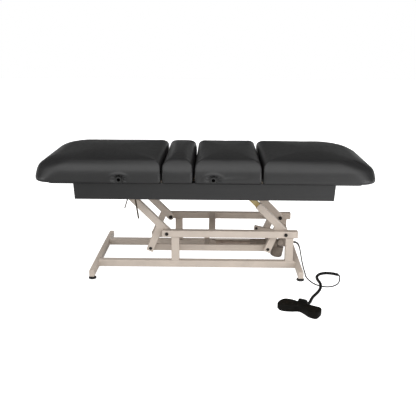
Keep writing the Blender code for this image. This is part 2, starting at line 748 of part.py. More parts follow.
def actuator_mount(table, base):
    """The tube between the right uprights: it holds the actuator's rear pin, a channel bracket
    that reaches over the actuator, and the gland of the foot switch's cord."""
    made = tube(
        table, "actuator_mount", base, between_rails(), "y", (UPRIGHT_RIGHT_X, 0, MOUNT_TUBE_Z)
    )
    pin_at = Vector((ACTUATOR_PIN_X, 0, ACTUATOR_PIN_Z))
    reach = UPRIGHT_RIGHT_X - ACTUATOR_PIN_X
    cheek_y = EYE_WIDTH / 2 + HINGE_RUNNING_GAP + MOUNT_PLATE / 2
    drop = MOUNT_TUBE_Z - ACTUATOR_PIN_Z
    outline_way = math.atan2(drop, reach)
    span = math.hypot(reach, drop)
    for side, word in SIDE_NAMES.items():
        y = side * cheek_y
        plate = eye_plate_mesh(span - TUBE / 2, MOUNT_PLATE_RADIUS, MOUNT_PLATE)
        at = pin_at + Vector((0, y, 0))
        unite(made, table.guide(f"mount_cheek_{word}", plate, base, at, (0, -outline_way, 0)))
    pin = cylinder_mesh(ACTUATOR_PIN_RADIUS, 2 * (cheek_y + MOUNT_PLATE), "y")
    unite(made, table.guide("mount_pin", pin, base, pin_at))
    hanger(table, base, made)
    gland = cylinder_mesh(
        GLAND_RADIUS, GLAND_LENGTH + TUBE_WALL, "x", 16, (GLAND_LENGTH / 2 - TUBE_WALL / 2, 0, 0)
    )
    unite(made, table.guide("gland", gland, base, (UPRIGHT_RIGHT_X + TUBE / 2, GLAND_Y, MOUNT_TUBE_Z)))


def hanger(table, base, mount):
    """A channel that slopes up to the left from the mount tube and ends in a bolt."""
    start = Vector((UPRIGHT_RIGHT_X - TUBE / 2 + TUBE_WALL, 0, MOUNT_TUBE_Z + TUBE / 2 - HANGER_WALL))
    end = Vector((HANGER_PIN_X, 0, HANGER_PIN_Z))
    way = start - end
    slope = math.atan2(-way.z, way.x)
    length = way.length
    over = HANGER_HEIGHT / 2
    bar = box_mesh((length + over, HANGER_WIDTH, HANGER_HEIGHT), ((length - over) / 2, 0, 0))
    inside = box_mesh(
        (length + over, HANGER_WIDTH - 2 * HANGER_WALL, HANGER_HEIGHT),
        ((length - over) / 2 - HANGER_WALL, 0, -HANGER_WALL)
    )
    guide = table.guide("hanger", bar, base, end, (0, slope, 0))
    carve(guide, table.guide("hanger_inside", inside, base, end, (0, slope, 0)))
    bolt = cylinder_mesh(HANGER_PIN_RADIUS, HANGER_WIDTH + 2 * HANGER_WALL, "y", 16)
    unite(mount, guide, table.guide("hanger_bolt", bolt, base, end))


# Carried frame
def shaft_z():
    return UPPER_RAIL_Z + ARM_LENGTH * math.sin(ARM_ANGLE)


def rail_bottom_z():
    return shaft_z() - SHAFT_RISE


def rail_top_z():
    return rail_bottom_z() + TOP_RAIL_HEIGHT


def apron_bottom_z():
    return rail_bottom_z() - APRON_DROP


def carried_frame(table, body, pivots):
    middle_z = rail_bottom_z() + TOP_RAIL_HEIGHT / 2
    left, right = top_cross_x()
    length = right - left - TOP_CROSS_WIDTH - 2 * SEAT_GAP
    for side, word in SIDE_NAMES.items():
        y = rail_y(side)
        rail = tube(
            table, f"top_rail_{word}", body, length, "x", ((left + right) / 2, y, middle_z),
            size=(TUBE, TOP_RAIL_HEIGHT),
        )
        for end, pivot in zip(("left", "right"), pivots):
            hole = cylinder_mesh(SHAFT_RADIUS + PIN_CLEARANCE, TUBE + 2 * OVERRUN, "y", 28)
            at = (pivot.x - ARM_LENGTH * math.cos(ARM_ANGLE), y, shaft_z())
            carve(rail, table.guide(f"shaft_hole_{word}_{end}", hole, body, at))
        for end, hinge in hinges().items():
            add_hinge_ear(
                table, body, rail, hinge, rail_ear_y(side), f"rail_{word}_{end}", rail_top_z(), True
            )
    for end, x in (("left", left), ("right", right)):
        width = 2 * (APRON_FRONT_Y - APRON_THICKNESS - SEAT_GAP)
        tube(
            table, f"top_cross_{end}", body, width, "y", (x, 0, middle_z),
            size=(TOP_CROSS_WIDTH, TOP_RAIL_HEIGHT)
        )


def end_panel_x():
    inset = APRON_TAPER + APRON_THICKNESS / 2
    return APRON_LEFT_X + inset, APRON_RIGHT_X - inset


def top_cross_x():
    inset = (APRON_THICKNESS + TOP_CROSS_WIDTH) / 2 + SEAT_GAP
    left, right = end_panel_x()
    return left + inset, right - inset


def hinges():
    """The section hinges lie at the centres of the cushions' rounded edges."""
    z = cushion_bottom_z() + CUSHION_HEIGHT - CUSHION_TOP_ROUND
    inset = SECTION_GAP / 2 + CUSHION_TOP_ROUND
    return {"back": Vector((BACK_GAP_X - inset, 0, z)), "leg": Vector((LEG_GAP_X + inset, 0, z))}


def rail_ear_y(side):
    return rail_y(side)


def deck_ear_y(side):
    return rail_y(side) - side * (HINGE_EAR_THICKNESS + HINGE_RUNNING_GAP)


def add_hinge_ear(table, body, target, hinge, y, word, bottom_z, bored):
    """An ear that stands on its carrier and ends round the hinge axis; a bored one takes the pin."""
    height = hinge.z - bottom_z + OVERRUN
    plate = eye_plate_mesh(height, HINGE_EAR_RADIUS, HINGE_EAR_THICKNESS)
    hole = cylinder_mesh(HINGE_PIN_RADIUS + PIN_CLEARANCE, 2 * HINGE_EAR_THICKNESS, "y", 16)
    at = Vector((hinge.x, y, hinge.z))
    ear = table.guide(f"ear_{word}", plate, body, at, (0, math.pi / 2, 0))
    if bored:
        carve(ear, table.guide(f"ear_hole_{word}", hole, body, at))
    unite(target, ear)


def aprons(table, body):
    """Padded panels round the carried frame; the long ones taper at their ends."""
    height = deck_bottom_z() + DECK_THICKNESS - apron_bottom_z()
    outline = [
        (APRON_LEFT_X + APRON_TAPER, 0), (APRON_RIGHT_X - APRON_TAPER, 0),
        (APRON_RIGHT_X, height), (APRON_LEFT_X, height),
    ]
    for side, word in SIDE_NAMES.items():
        mesh = outline_mesh(outline, APRON_THICKNESS, APRON_ROUND)
        back_y = APRON_FRONT_Y if side == REAR else APRON_THICKNESS - APRON_FRONT_Y
        at = (0, back_y, apron_bottom_z())
        panel = table.solid(f"apron_{word}", mesh, "vinyl", body, at, (math.pi / 2, 0, 0))
        if side == FRONT:
            lever_pins(table, body, panel)
    width = 2 * (APRON_FRONT_Y - APRON_THICKNESS - SEAT_GAP)
    end_height = rail_top_z() - apron_bottom_z()
    for end, x in zip(("left", "right"), end_panel_x()):
        mesh = box_mesh((APRON_THICKNESS, width, end_height), round_edges=APRON_ROUND)
        table.solid(f"apron_{end}", mesh, "vinyl", body, (x, 0, apron_bottom_z() + end_height / 2))


# Sections
def deck_bottom_z():
    return rail_top_z() + SEAT_GAP


def cushion_bottom_z():
    return deck_bottom_z() + DECK_THICKNESS + SEAT_GAP


def socket_z():
    return cushion_bottom_z() + SOCKET_RISE


def deck_width():
    return 2 * (APRON_FRONT_Y - APRON_THICKNESS - DECK_SIDE_CLEARANCE)


def deck(table, body, name, left, right):
    """The plate below a cushion."""
    middle = ((left + right) / 2, 0, deck_bottom_z() + DECK_THICKNESS / 2)
    mesh = box_mesh((right - left, deck_width(), DECK_THICKNESS), round_edges=DECK_CORNER, steps=4, along=2)
    return table.solid(name, mesh, "deck_wood", body, middle)


def lug(table, body, target, at, word, facing):
    """A lug below a deck for one end of a gas spring, beside the eye, with its pin."""
    y = facing * (SPRING_EYE_WIDTH / 2 + HINGE_RUNNING_GAP + SPRING_LUG_THICKNESS / 2)
    top = deck_bottom_z() + OVERRUN
    height = top - at.z
    plate = eye_plate_mesh(height, SPRING_EYE_RADIUS, SPRING_LUG_THICKNESS)
    pin_reach = SPRING_EYE_WIDTH + HINGE_RUNNING_GAP
    pin_length = pin_reach + SPRING_LUG_THICKNESS + 2 * PIN_PROUD
    pin = cylinder_mesh(SPRING_PIN_RADIUS, pin_length, "y", 16, (0, -facing * pin_reach / 2, 0))
    here = at + Vector((0, y, 0))
    unite(
        target,
        table.guide(f"lug_{word}", plate, body, here, (0, -math.pi / 2, 0)),
        table.guide(f"lug_pin_{word}", pin, body, here),
    )


def spring_ends(end):
    """The fixed and the moving pin of a section's gas spring."""
    away = -1 if end == "back" else 1
    hinge = hinges()[end]
    fixed = hinge + Vector((-away * SPRING_REACH, 0, -SPRING_DROP))
    moving = hinge + Vector((away * SPRING_REACH, 0, -SPRING_DROP))
    return fixed, moving


def section_deck(table, body, end):
    hinge = hinges()[end]
    if end == "back":
        made = deck(table, body, "deck_back", -TOP_LENGTH / 2 + DECK_END_INSET, hinge.x)
    else:
        made = deck(table, body, "deck_leg", hinge.x, TOP_LENGTH / 2 - DECK_END_INSET)
    away = -1 if end == "back" else 1
    notch_length = HINGE_EAR_RADIUS + EAR_SLOT_MARGIN + OVERRUN
    notch = (notch_length, HINGE_EAR_THICKNESS + 2 * EAR_SLOT_MARGIN, 2 * DECK_THICKNESS)
    notch_x = hinge.x + away * (notch_length / 2 - OVERRUN)
    for side, word in SIDE_NAMES.items():
        at = (notch_x, rail_ear_y(side), deck_bottom_z() + DECK_THICKNESS / 2)
        carve(made, table.guide(f"ear_notch_{word}_{end}", box_mesh(notch), body, at))
    for side, word in SIDE_NAMES.items():
        y = deck_ear_y(side)
        foot = deck_bottom_z() + DECK_THICKNESS / 2
        add_hinge_ear(table, body, made, hinge, y, f"deck_{word}_{end}", foot, False)
        pin_length = 2 * (HINGE_EAR_THICKNESS + HINGE_RUNNING_GAP + PIN_PROUD)
        pin = cylinder_mesh(HINGE_PIN_RADIUS, pin_length, "y", 16)
        middle_y = y + side * (HINGE_EAR_THICKNESS + HINGE_RUNNING_GAP) / 2
        unite(made, table.guide(f"hinge_pin_{word}_{end}", pin, body, (hinge.x, middle_y, hinge.z)))
    _, moving = spring_ends(end)
    lug(table, body, made, moving, f"moving_{end}", REAR)


def centre_deck(table, body):
    made = deck(
        table, body, "deck_centre", BACK_GAP_X + SECTION_GAP / 2, LEG_GAP_X - SECTION_GAP / 2
    )
    for end in hinges():
        fixed, _ = spring_ends(end)
        lug(table, body, made, fixed, f"fixed_{end}", REAR)


def gas_spring(table, cylinder_body, rod_body, end):
    fixed, moving = spring_ends(end)
    way = moving - fixed
    length = way.length
    lean = math.atan2(-way.z, way.x)
    turn = (0, lean, 0)
    cylinder = table.solid(
        f"gas_spring_{end}", cylinder_mesh(
            SPRING_BODY_RADIUS, SPRING_BODY_LENGTH, "x", 20,
            (SPRING_BODY_START + SPRING_BODY_LENGTH / 2, 0, 0)
        ), "spring_black", cylinder_body, fixed, turn,
    )
    neck = cylinder_mesh(SPRING_ROD_RADIUS, 2 * SPRING_EYE_RADIUS, "x", 16, (SPRING_EYE_RADIUS, 0, 0))
    unite(
        cylinder,
        table.guide(f"spring_neck_{end}", neck, cylinder_body, fixed, turn),
        table.guide(
            f"spring_eye_{end}", cylinder_mesh(SPRING_EYE_RADIUS, SPRING_EYE_WIDTH, "y", 16), cylinder_body,
            fixed,
        ),
    )
    bore_length = SPRING_BODY_START + SPRING_BODY_LENGTH - SPRING_ROD_START + 2 * OVERRUN
    bore = cylinder_mesh(
        SPRING_BORE, bore_length, "x", 20, (SPRING_ROD_START - OVERRUN + bore_length / 2, 0, 0)
    )
    hole = cylinder_mesh(SPRING_PIN_RADIUS + PIN_CLEARANCE, 2 * SPRING_EYE_WIDTH, "y", 16)
    carve(
        cylinder,
        table.guide(f"spring_bore_{end}", bore, cylinder_body, fixed, turn),
        table.guide(f"spring_hole_{end}", hole, cylinder_body, fixed),
    )
    rod_length = length - SPRING_ROD_START
    rod = table.solid(
        f"gas_rod_{end}", cylinder_mesh(SPRING_ROD_RADIUS, rod_length, "x", 16, (-rod_length / 2, 0, 0)),
        "chrome", rod_body, moving, turn,
    )
    unite(
        rod,
        table.guide(
            f"rod_eye_{end}", cylinder_mesh(SPRING_EYE_RADIUS, SPRING_EYE_WIDTH, "y", 16), rod_body, moving
        ),
    )
    rod_hole = cylinder_mesh(SPRING_PIN_RADIUS + PIN_CLEARANCE, 2 * SPRING_EYE_WIDTH, "y", 16)
    carve(rod, table.guide(f"rod_hole_{end}", rod_hole, rod_body, moving))


# Cushions
def cushion_rows():
    """The side profile of a cushion, bottom to top, as (inset, height) pairs."""
    top = CUSHION_HEIGHT
    bottom = CUSHION_BOTTOM_ROUND
    rows = [(bottom - x, z) for x, z in arc((0, bottom), bottom, -math.pi / 2, 0, 2)]
    rows.append((CUSHION_SIDE_DRAW, (bottom + top - CUSHION_TOP_ROUND) / 2))
    centre = (0, top - CUSHION_TOP_ROUND)
    crown = arc(centre, CUSHION_TOP_ROUND, 0, math.pi / 2, TOP_ROUND_STEPS)
    rows += [(CUSHION_TOP_ROUND - x, z) for x, z in crown]
    return rows


def corner_loop(half_x, half_y, radii, inset):
    """A rounded rectangle, drawn in by an inset; radii are for +X and -X corners."""
    loop = []
    quarter = math.pi / 2
    for index, (sx, sy) in enumerate(((1, -1), (1, 1), (-1, 1), (-1, -1))):
        radius = radii[0] if sx > 0 else radii[1]
        centre = (sx * (half_x - radius), sy * (half_y - radius))
        kept = max(radius - inset, radius / 4)
        slip = inset - (radius - kept)
        centre = (centre[0] - sx * slip, centre[1] - sy * slip)
        start = -quarter + index * quarter
        loop += arc(centre, kept, start, start + quarter, CORNER_STEPS)
    return loop


def ease_end(points, half_x, outer, inset):
    """Draws the points of a loop further in towards the outer end of an end cushion."""
    extra = inset * (CUSHION_END_ROUND_SHARE - 1)
    eased = []
    for x, y in points:
        far = max(x * outer / half_x, 0)
        eased.append((x - outer * extra * far * far, y))
    return eased


def cushion_mesh(length, radii, outer):
    half_x = length / 2
    half_y = TOP_WIDTH / 2

    def build(bm):
        loops = []
        for inset, height in cushion_rows():
            eased_inset = inset if height > CUSHION_HEIGHT - CUSHION_TOP_ROUND else 0
            points = ease_end(corner_loop(half_x, half_y, radii, inset), half_x, outer, eased_inset)
            loops.append([bm.verts.new((x, y, height)) for x, y in points])
        crown_start = cushion_rows()[-1][0]
        inner = min(half_x, half_y)
        for share in (0.45, 0.8):
            inset = crown_start + (inner - crown_start) * share
            rise = CUSHION_CROWN * math.sin(share * math.pi / 2)
            points = ease_end(corner_loop(half_x, half_y, radii, inset), half_x, outer, crown_start)
            loops.append([bm.verts.new((x, y, CUSHION_HEIGHT + rise)) for x, y in points])
        for lower, upper in zip(loops, loops[1:]):
            for i in range(len(lower)):
                j = (i + 1) % len(lower)
                bm.faces.new((lower[i], lower[j], upper[j], upper[i]))
        bm.faces.new(loops[-1])
        bm.faces.new(list(reversed(loops[0])))
        bmesh.ops.recalc_face_normals(bm, faces=bm.faces)

    return mesh_from("cushion", build)


def section_spans():
    half_gap = SECTION_GAP / 2
    edges = (-TOP_LENGTH / 2 - half_gap, BACK_GAP_X, NARROW_GAP_X, LEG_GAP_X, TOP_LENGTH / 2 + half_gap)
    names = ("back", "narrow", "seat", "leg")
    return {n: (a + half_gap, b - half_gap) for n, a, b in zip(names, edges, edges[1:])}


def cushion(table, body, name):
    left, right = section_spans()[name]
    radii = [CUSHION_INNER_CORNER, CUSHION_INNER_CORNER]
    outer = {"back": -1, "leg": 1}.get(name, 0)
    if outer:
        radii[0 if outer > 0 else 1] = CUSHION_END_CORNER
    mesh = cushion_mesh(right - left, radii, outer)
    made = table.solid(f"cushion_{name}", mesh, "vinyl", body, ((left + right) / 2, 0, cushion_bottom_z()))
    if name in hinges():
        slot_cushion(table, body, made, name)
    return made


def slot_cushion(table, body, made, end):
    """Slots in a tilting cushion for the hinge ears, open below and at the hinged end."""
    hinge = hinges()[end]
    away = -1 if end == "back" else 1
    inner = away * (HINGE_EAR_RADIUS + EAR_SLOT_MARGIN)
    outer = -away * (CUSHION_TOP_ROUND + OVERRUN)
    top = HINGE_EAR_RADIUS + EAR_SLOT_MARGIN
    bottom = cushion_bottom_z() - hinge.z - OVERRUN
    thickness = 2 * HINGE_EAR_THICKNESS + HINGE_RUNNING_GAP + 2 * EAR_SLOT_MARGIN
    for side, word in SIDE_NAMES.items():
        y = (rail_ear_y(side) + deck_ear_y(side)) / 2
        mesh = box_mesh(
            (abs(outer - inner), thickness, top - bottom), ((outer + inner) / 2, 0, (top + bottom) / 2)
        )
        carve(made, table.guide(f"ear_slot_{word}_{end}", mesh, body, (hinge.x, y, hinge.z)))
    sweep_slots(table, body, made, end)


def sweep_slots(table, body, made, end):
    """Hollows below the inner edge of a tilting cushion, over the rails and the long panels, which
    its lower edge would otherwise swing down into."""
    hinge = hinges()[end]
    way = 1 if end == "back" else -1
    panel_top = deck_bottom_z() + DECK_THICKNESS - hinge.z
    reach = -panel_top - EAR_SLOT_MARGIN
    low = panel_top - OVERRUN
    outer = way * (CUSHION_TOP_ROUND + OVERRUN)
    sweep = arc((0, 0), reach, 0, SWEEP_SLOT_ANGLE, SWEEP_SLOT_STEPS)
    outline = [(0, low)] + [(way * y, -x) for x, y in sweep] + [(outer, -sweep[-1][0]), (outer, low)]
    spans = (("rail", rail_y(REAR), TUBE), ("panel", APRON_FRONT_Y - APRON_THICKNESS / 2, APRON_THICKNESS))
    for part, y, thickness in spans:
        width = thickness + 2 * EAR_SLOT_MARGIN
        for side, word in SIDE_NAMES.items():
            mesh = outline_mesh(outline, width)
            at = (hinge.x, side * y + width / 2, hinge.z)
            guide = table.guide(f"sweep_slot_{part}_{word}_{end}", mesh, body, at, (math.pi / 2, 0, 0))
            carve(made, guide)


def socket(table, body, name, x, cushion_object):
    """A steel tube through a cushion from side to side, flanged at both ends."""
    length = TOP_WIDTH + 2 * SEAT_GAP + SOCKET_FLANGE
    made = table.solid(
        f"socket_tube_{name}", cylinder_mesh(SOCKET_RADIUS, length, "y", 20), "socket_steel", body,
        (x, 0, socket_z())
    )
    for side, word in SIDE_NAMES.items():
        flange = cylinder_mesh(SOCKET_FLANGE_RADIUS, SOCKET_FLANGE, "y", 20)
        at = (x, side * (TOP_WIDTH / 2 + SEAT_GAP + SOCKET_FLANGE / 2), socket_z())
        unite(made, table.guide(f"flange_{word}_{name}", flange, body, at))
    bore = cylinder_mesh(SOCKET_BORE, TOP_WIDTH + TUBE, "y", 20)
    carve(made, table.guide(f"socket_bore_{name}", bore, body, (x, 0, socket_z())))
    way = cylinder_mesh(SOCKET_RADIUS + SEAT_GAP, TOP_WIDTH + TUBE, "y", 20)
    carve(cushion_object, table.guide(f"socket_way_{name}", way, body, (x, 0, socket_z())))


# Release levers
def lever_pivot_z():
    return rail_bottom_z() + LEVER_PIVOT_RISE


def lever_pins(table, body, panel):
    """Pins on the back of the front panel that carry the release levers."""
    end_y = LEVER_Y + LEVER_PIVOT_WIDTH / 2 + PIN_PROUD
    start_y = APRON_THICKNESS / 2 - APRON_FRONT_Y
    length = end_y - start_y
    for name, x in (("back", LONG_LEVER_PIVOT_X), ("leg", SHORT_LEVER_PIVOT_X)):
        pin = cylinder_mesh(LEVER_PIN_RADIUS, length, "y", 12)
        unite(panel, table.guide(f"lever_pin_{name}", pin, body, (x, (start_y + end_y) / 2, lever_pivot_z())))


def release_lever(table, body, name, pivot_x, tip_x, drop, radius):
    """A rod that hangs from a pivot behind the apron."""
    pivot = Vector((pivot_x, LEVER_Y, lever_pivot_z()))
    tip = Vector((tip_x, LEVER_Y, lever_pivot_z() - drop))
    way = tip - pivot
    lean = math.atan2(-way.x, -way.z)
    rod = table.solid(
        f"release_lever_{name}", cylinder_mesh(radius, way.length, "z", 12, (0, 0, -way.length / 2)),
        "bolt_black", body, pivot, (0, lean, 0),
    )
    hub = cylinder_mesh(LEVER_PIVOT_RADIUS, LEVER_PIVOT_WIDTH, "y", 20)
    unite(rod, table.guide(f"lever_hub_{name}", hub, body, pivot))
    hole = cylinder_mesh(LEVER_PIN_RADIUS + PIN_CLEARANCE, 2 * LEVER_PIVOT_WIDTH, "y", 12)
    carve(rod, table.guide(f"lever_hole_{name}", hole, body, pivot))


# Foot switch
def pedal_outline(inset=0.0):
    """A bow tie with round ends, counter-clockwise, drawn in by an inset."""
    half = PEDAL_LENGTH / 2 - inset
    radius = PEDAL_WIDTH / 2 - inset
    waist = PEDAL_WAIST / 2 - inset
    corner = radius * PEDAL_CORNER_SHARE
    points = []
    points += arc((half - corner, -radius + corner), corner, -math.pi / 2, 0, 4)
    points += arc((half - corner, radius - corner), corner, 0, math.pi / 2, 4)
    points.append((0, waist))
    points += arc((corner - half, radius - corner), corner, math.pi / 2, math.pi, 4)
    points += arc((corner - half, -radius + corner), corner, math.pi, 1.5 * math.pi, 4)
    points.append((0, -waist))
    return points


def pedal_cheek_y():
    return PEDAL_WAIST / 2 - PEDAL_BASE_INSET - PEDAL_CHEEK / 2


def pedal_hub_width():
    return 2 * (pedal_cheek_y() - PEDAL_CHEEK / 2 - PEDAL_GAP)


def pedal(table, base_body, rocker_body, at):
    turn = (0, 0, PEDAL_TURN)
    base = table.solid(
        "pedal_base", outline_mesh(pedal_outline(PEDAL_BASE_INSET), PEDAL_BASE_HEIGHT, PEDAL_BASE_ROUND),
        "pedal_black", base_body, at, turn,
    )
    axis_at = at + Vector((0, 0, PEDAL_AXIS_Z))
    for side, word in SIDE_NAMES.items():
        y = side * pedal_cheek_y()
        height = PEDAL_AXIS_Z - PEDAL_BASE_HEIGHT / 2
        cheek = box_mesh((2 * PEDAL_HUB_RADIUS, PEDAL_CHEEK, height), (0, y, -height / 2))
        head = cylinder_mesh(PEDAL_HUB_RADIUS, PEDAL_CHEEK, "y", 20, (0, y, 0))
        unite(
            base,
            table.guide(f"pedal_cheek_{word}", cheek, base_body, axis_at, turn),
            table.guide(f"pedal_cheek_head_{word}", head, base_body, axis_at, turn),
        )
    boss = box_mesh((PEDAL_BOSS_LENGTH, PEDAL_BOSS_WIDTH, PEDAL_BOSS_HEIGHT), round_edges=PEDAL_BOSS_ROUND)
    boss_at = Vector((PEDAL_BOSS_OFFSET, pedal_boss_y(), PEDAL_BOSS_HEIGHT / 2))
    boss_place = at + Matrix.Rotation(PEDAL_TURN, 3, "Z") @ boss_at
    unite(base, table.guide("pedal_boss", boss, base_body, boss_place, turn))
    cradle = cylinder_mesh(PEDAL_HUB_RADIUS + PEDAL_GAP, pedal_hub_width() + PEDAL_GAP, "y", 20)
    carve(base, table.guide("pedal_cradle", cradle, base_body, axis_at, turn))
    for side, word in SIDE_NAMES.items():
        pin_y = side * (pedal_cheek_y() - PEDAL_CHEEK)
        pin = cylinder_mesh(PEDAL_PIN_RADIUS, 2 * PEDAL_CHEEK, "y", 16, (0, pin_y, 0))
        unite(base, table.guide(f"pedal_stud_{word}", pin, base_body, axis_at, turn))
    pedal_tray(table, rocker_body, at, axis_at)


def pedal_boss_y():
    """The boss for the cord stands behind the rear cheek."""
    return pedal_cheek_y() + PEDAL_BOSS_WIDTH / 2 - PEDAL_CHEEK / 4


def pedal_tray(table, body, at, axis_at):
    """The rocker: a tray upside down over the base, cut away for the cheeks and the boss."""
    turn = (0, 0, PEDAL_TURN)
    rocker = table.solid(
        "pedal_rocker", outline_mesh(pedal_outline(), PEDAL_TRAY_HEIGHT, PEDAL_TRAY_ROUND),
        "pedal_black", body, at + Vector((0, 0, PEDAL_TRAY_Z)), turn,
    )
    depth = PEDAL_TRAY_HEIGHT - PEDAL_TRAY_TOP + OVERRUN
    inside = outline_mesh(pedal_outline(PEDAL_TRAY_WALL), depth)
    tray_place = at + Vector((0, 0, PEDAL_TRAY_Z - OVERRUN))
    carve(rocker, table.guide("pedal_tray_inside", inside, body, tray_place, turn))
    hub = cylinder_mesh(PEDAL_HUB_RADIUS, pedal_hub_width(), "y", 20)
    unite(rocker, table.guide("pedal_hub", hub, body, axis_at, turn))
    gap = pedal_hub_width() + PEDAL_GAP
    boss_half = PEDAL_BOSS_LENGTH / 2 + abs(PEDAL_BOSS_OFFSET) + PEDAL_GAP
    for side, word, half in ((FRONT, "front", PEDAL_HUB_RADIUS + PEDAL_GAP), (REAR, "rear", boss_half)):
        notch = box_mesh(
            (2 * half, PEDAL_WIDTH, 2 * PEDAL_TRAY_HEIGHT), (0, side * (gap + PEDAL_WIDTH) / 2, 0)
        )
        carve(rocker, table.guide(f"pedal_notch_{word}", notch, body, axis_at, turn))
    bore = cylinder_mesh(PEDAL_PIN_RADIUS + PIN_CLEARANCE, PEDAL_WIDTH, "y", 16)
    carve(rocker, table.guide("pedal_bore", bore, body, axis_at, turn))


# Cord
def smooth_route(points, steps):
    """Points at even spacing along a smooth curve through the route's own points."""
    route = [Vector(p) for p in points]
    dense = []
    for i in range(len(route) - 1):
        before = route[max(i - 1, 0)]
        after = route[min(i + 2, len(route) - 1)]
        a, b = route[i], route[i + 1]
        for k in range(8):
            t = k / 8
            dense.append(catmull(before, a, b, after, t))
    dense.append(route[-1])
    lengths = [0.0]
    for a, b in zip(dense, dense[1:]):
        lengths.append(lengths[-1] + (b - a).length)
    spaced = []
    j = 0
    for i in range(steps):
        target = lengths[-1] * i / (steps - 1)
        while j < len(lengths) - 2 and lengths[j + 1] < target:
            j += 1
        t = (target - lengths[j]) / (lengths[j + 1] - lengths[j])
        spaced.append(dense[j].lerp(dense[j + 1], min(t, 1.0)))
    return spaced


def catmull(before, a, b, after, t):
    return 0.5 * (
        2 * a + (b - before) * t + (2 * before - 5 * a + 4 * b - after) * t * t
        + (3 * a - before - 3 * b + after) * t * t * t
    )


def cord_solid(table, body, name, route, diameter, steps, resolution):
    points = smooth_route(route, steps)
    curve = bpy.data.curves.new(name, "CURVE")
    curve.dimensions = "3D"
    curve.bevel_depth = diameter / 2
    curve.bevel_resolution = resolution
    curve.use_fill_caps = True
    spline = curve.splines.new("POLY")
    spline.points.add(len(points) - 1)
    for spot, point in zip(spline.points, points):
        spot.co = (*point, 1.0)
    curve.materials.append(table.materials["cord_black"])
    made = bpy.data.objects.new(name, curve)
    return table.place(made, body, (0, 0, 0), (0, 0, 0), table.parts)


def sleeve_route(pedal_at):
    """The thick end of the cord, which runs on into the boss of the foot switch."""
    turn = Matrix.Rotation(PEDAL_TURN, 3, "Z")
    rear = pedal_boss_y() + PEDAL_BOSS_WIDTH / 2 + SEAT_GAP
    entry = pedal_at + turn @ Vector((PEDAL_ENTRY_OFFSET, rear, PEDAL_ENTRY_Z))
    straight = entry + turn @ Vector((0, SLEEVE_DIAMETER, 0))
    return (*SLEEVE_ROUTE, tuple(straight), tuple(entry))


def settle(table):
    """Puts the middle of the floor area of everything but the cord at the origin."""
    bpy.context.view_layer.update()
    depsgraph = bpy.context.evaluated_depsgraph_get()
    lows, highs = [], []
    for made in table.parts.objects:
        if made.type != "MESH":
            continue
        shown = made.evaluated_get(depsgraph)
        corners = [shown.matrix_world @ v.co for v in shown.data.vertices]
        lows.append([min(c[i] for c in corners) for i in range(3)])
        highs.append([max(c[i] for c in corners) for i in range(3)])
    low = [min(v[i] for v in lows) for i in range(3)]
    high = [max(v[i] for v in highs) for i in range(3)]
    table.root.location = (-(low[0] + high[0]) / 2, -(low[1] + high[1]) / 2, -low[2])
    bpy.context.view_layer.update()
    print("origin shift", [round(v, 6) for v in table.root.location])
    print("size", [round(b - a, 5) for a, b in zip(low, high)])


